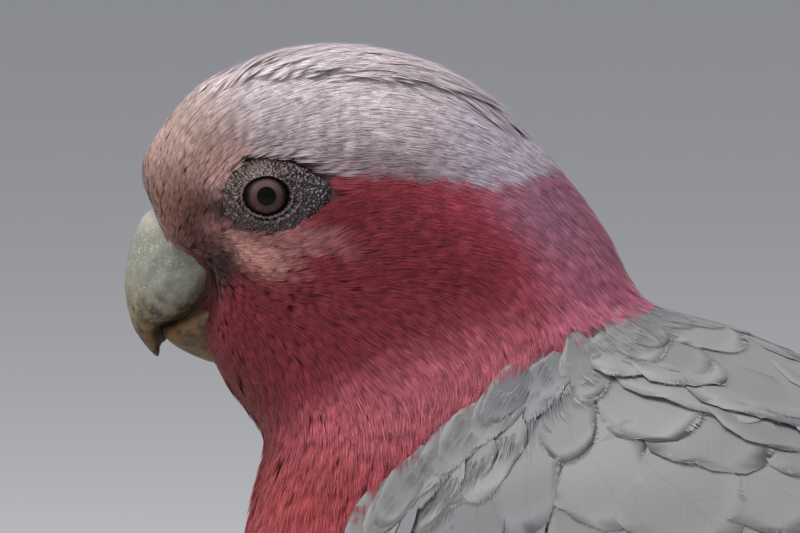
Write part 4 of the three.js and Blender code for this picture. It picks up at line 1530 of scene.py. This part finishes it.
def bead_relief(x, z):
    """Height of the beads, 0 to 1, over a grid of angles and rows."""
    relief = np.zeros_like(x)
    for row in range(BEAD_ROWS):
        out = (row + 0.9) / (BEAD_ROWS + 0.6)
        beads = int(BEADS_INSIDE + (BEADS_OUTSIDE - BEADS_INSIDE) * out)
        for bead in range(beads):
            at = (bead + rng.uniform(-0.4, 0.4)) / beads
            i = int(at * RING_ANGLES) % RING_ANGLES
            j = int(np.clip(out + rng.uniform(-0.03, 0.03), 0, 1) * (RING_ROWS - 1))
            reach = rng.uniform(0.2, 0.36)
            gap = np.hypot(x - x[i, j], z - z[i, j])
            relief = np.maximum(relief, (1 - np.clip(gap / reach, 0, 1) ** 2) * rng.uniform(0.3, 1.0))
    return relief


def add_eye_ring(side, name, paint):
    angle = np.linspace(0, 2 * np.pi, RING_ANGLES, endpoint=False)
    t = np.linspace(0, 1, RING_ROWS)[None, :]
    edge_x, edge_z = [RING_UNDER_COAT * e for e in ring_edge(angle)]
    inner_x, inner_z = OPENING[0] * np.cos(angle), OPENING[1] * np.sin(angle)
    inner_y = EYE_CENTRE[1] + np.sqrt(EYE_RADIUS ** 2 - inner_x ** 2 - inner_z ** 2) - 0.25
    outer_y = np.array([
        abs(skin_tree.ray_cast(Vector((x, side * 60, z + EYE_CENTRE[2])), Vector((0, -side, 0)))[0].y)
        for x, z in zip(edge_x, edge_z)])
    for _ in range(6):
        outer_y = (np.roll(outer_y, 1) + outer_y + np.roll(outer_y, -1)) / 3
    x = inner_x[:, None] * (1 - t) + edge_x[:, None] * t
    z = inner_z[:, None] * (1 - t) + edge_z[:, None] * t
    y = inner_y[:, None] * (1 - t) + (outer_y[:, None] - 0.1) * t
    relief = bead_relief(x, z)
    lid_rim = 0.6 * np.exp(-((t - 0.1) / 0.05) ** 2) + 0.35 * np.exp(-((t - 0.3) / 0.07) ** 2)
    swell = 0.7 * np.sin(np.pi * t) ** 0.8
    folds = 0.14 * np.sin(angle[:, None] * 13 + 14 * t) * np.sin(np.pi * t)
    fade = smoothstep(t, 0.0, 0.05) * (1 - smoothstep(t, 0.85, 1.0))
    front = y + (relief * 0.34 + lid_rim + folds) * fade + swell
    over_ball = EYE_CENTRE[1] + np.sqrt(np.maximum((EYE_RADIUS + 0.35) ** 2 - x ** 2 - z ** 2, 0))
    front = np.where(t > 0.06, np.maximum(front, over_ball + relief * 0.3), front)
    back_rows = slice(None, None, RING_ROWS // 4)
    back = np.stack([x, y - 1.2, z], 2)[:, ::-1][:, back_rows]
    loops = np.concatenate([np.stack([x, front, z], 2), back], axis=1) * (1, side, 1) + (0, 0, EYE_CENTRE[2])
    height = np.concatenate([relief + 0.9 * lid_rim, np.zeros(back.shape[:2])], axis=1)
    count = loops.shape[1]
    shape = bmesh.new()
    ridge = shape.verts.layers.float.new("ridge")
    bmesh.ops.create_grid(shape, x_segments=RING_ANGLES, y_segments=count, size=1.0)
    for vert in shape.verts:
        i = round((vert.co.x + 1) / 2 * RING_ANGLES) % RING_ANGLES
        j = round((vert.co.y + 1) / 2 * count) % count
        vert.co = loops[i, j]
        vert[ridge] = height[i, j]
    bmesh.ops.remove_doubles(shape, verts=shape.verts, dist=1e-5)
    bmesh.ops.recalc_face_normals(shape, faces=shape.faces)
    show(finished(shape, name + "_ring"), paint, [name])


# %% Bare skin, and a ring for each eye
def bare_skin_material():
    made, tree, surface = material("bare_skin", 0.34, 0.5)
    place = attribute(tree, "root")
    x, _, z = parts(place)
    backward = (x - z * 0.4).ramp(-4.0, 7.0)
    deep = mix(backward, srgb(32, 15, 13), srgb(28, 13, 19))
    crest = mix(backward, srgb(94, 74, 68), srgb(80, 64, 76))
    crest = mix(noise(place, 2.6, 2.0).ramp(0.55, 0.7), crest, srgb(134, 118, 120))
    relief = attribute(tree, "ridge", "Fac") * 0.9 + noise(place, 0.5, 3.0) * 0.3
    feed(surface, "Base Color", mix(relief.ramp(0.3, 1.0), deep, crest))
    grain = node(tree, "TexVoronoi", None, {"Vector": place, "Scale": 3.0}, output="Distance")
    emboss(surface, grain, 0.5, 0.0002)
    return made


bare_skin = bare_skin_material()
add_eye_ring(-1, "eyelid_left", bare_skin)
add_eye_ring(1, "eyelid_right", bare_skin)

# %% [markdown]
# ## The skin in its place
# Every feather has been laid, so the skin can go to its place on the model too. It has the same markings as
# the feathers on it, made darker as painted shade, so a gap between feathers shows the colour that belongs
# there in shade. Its back is grey, and close to the eye's ring it is as dark as the ring: partly the dark of
# the bare skin, partly painted shadow under the feathers that hang over the ring.

# %% Show the skin
store(skin_mesh, "back", grey_part(skin_places, skin_on_wing).astype(float))
store(skin_mesh, "eye_ring", np.where(on_a_side(skin_places), eye_ring_distance(skin_places), 9.0))
show(skin, under_skin, FLESH)
print("coat:", coat_triangles, "triangles")

# %% Sizes, to compare with the solids
visual_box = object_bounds()
for title, corners in (("solids", cad_box), ("pieces", visual_box)):
    print(title, [[round(c, 4) for c in corner] for corner in corners])
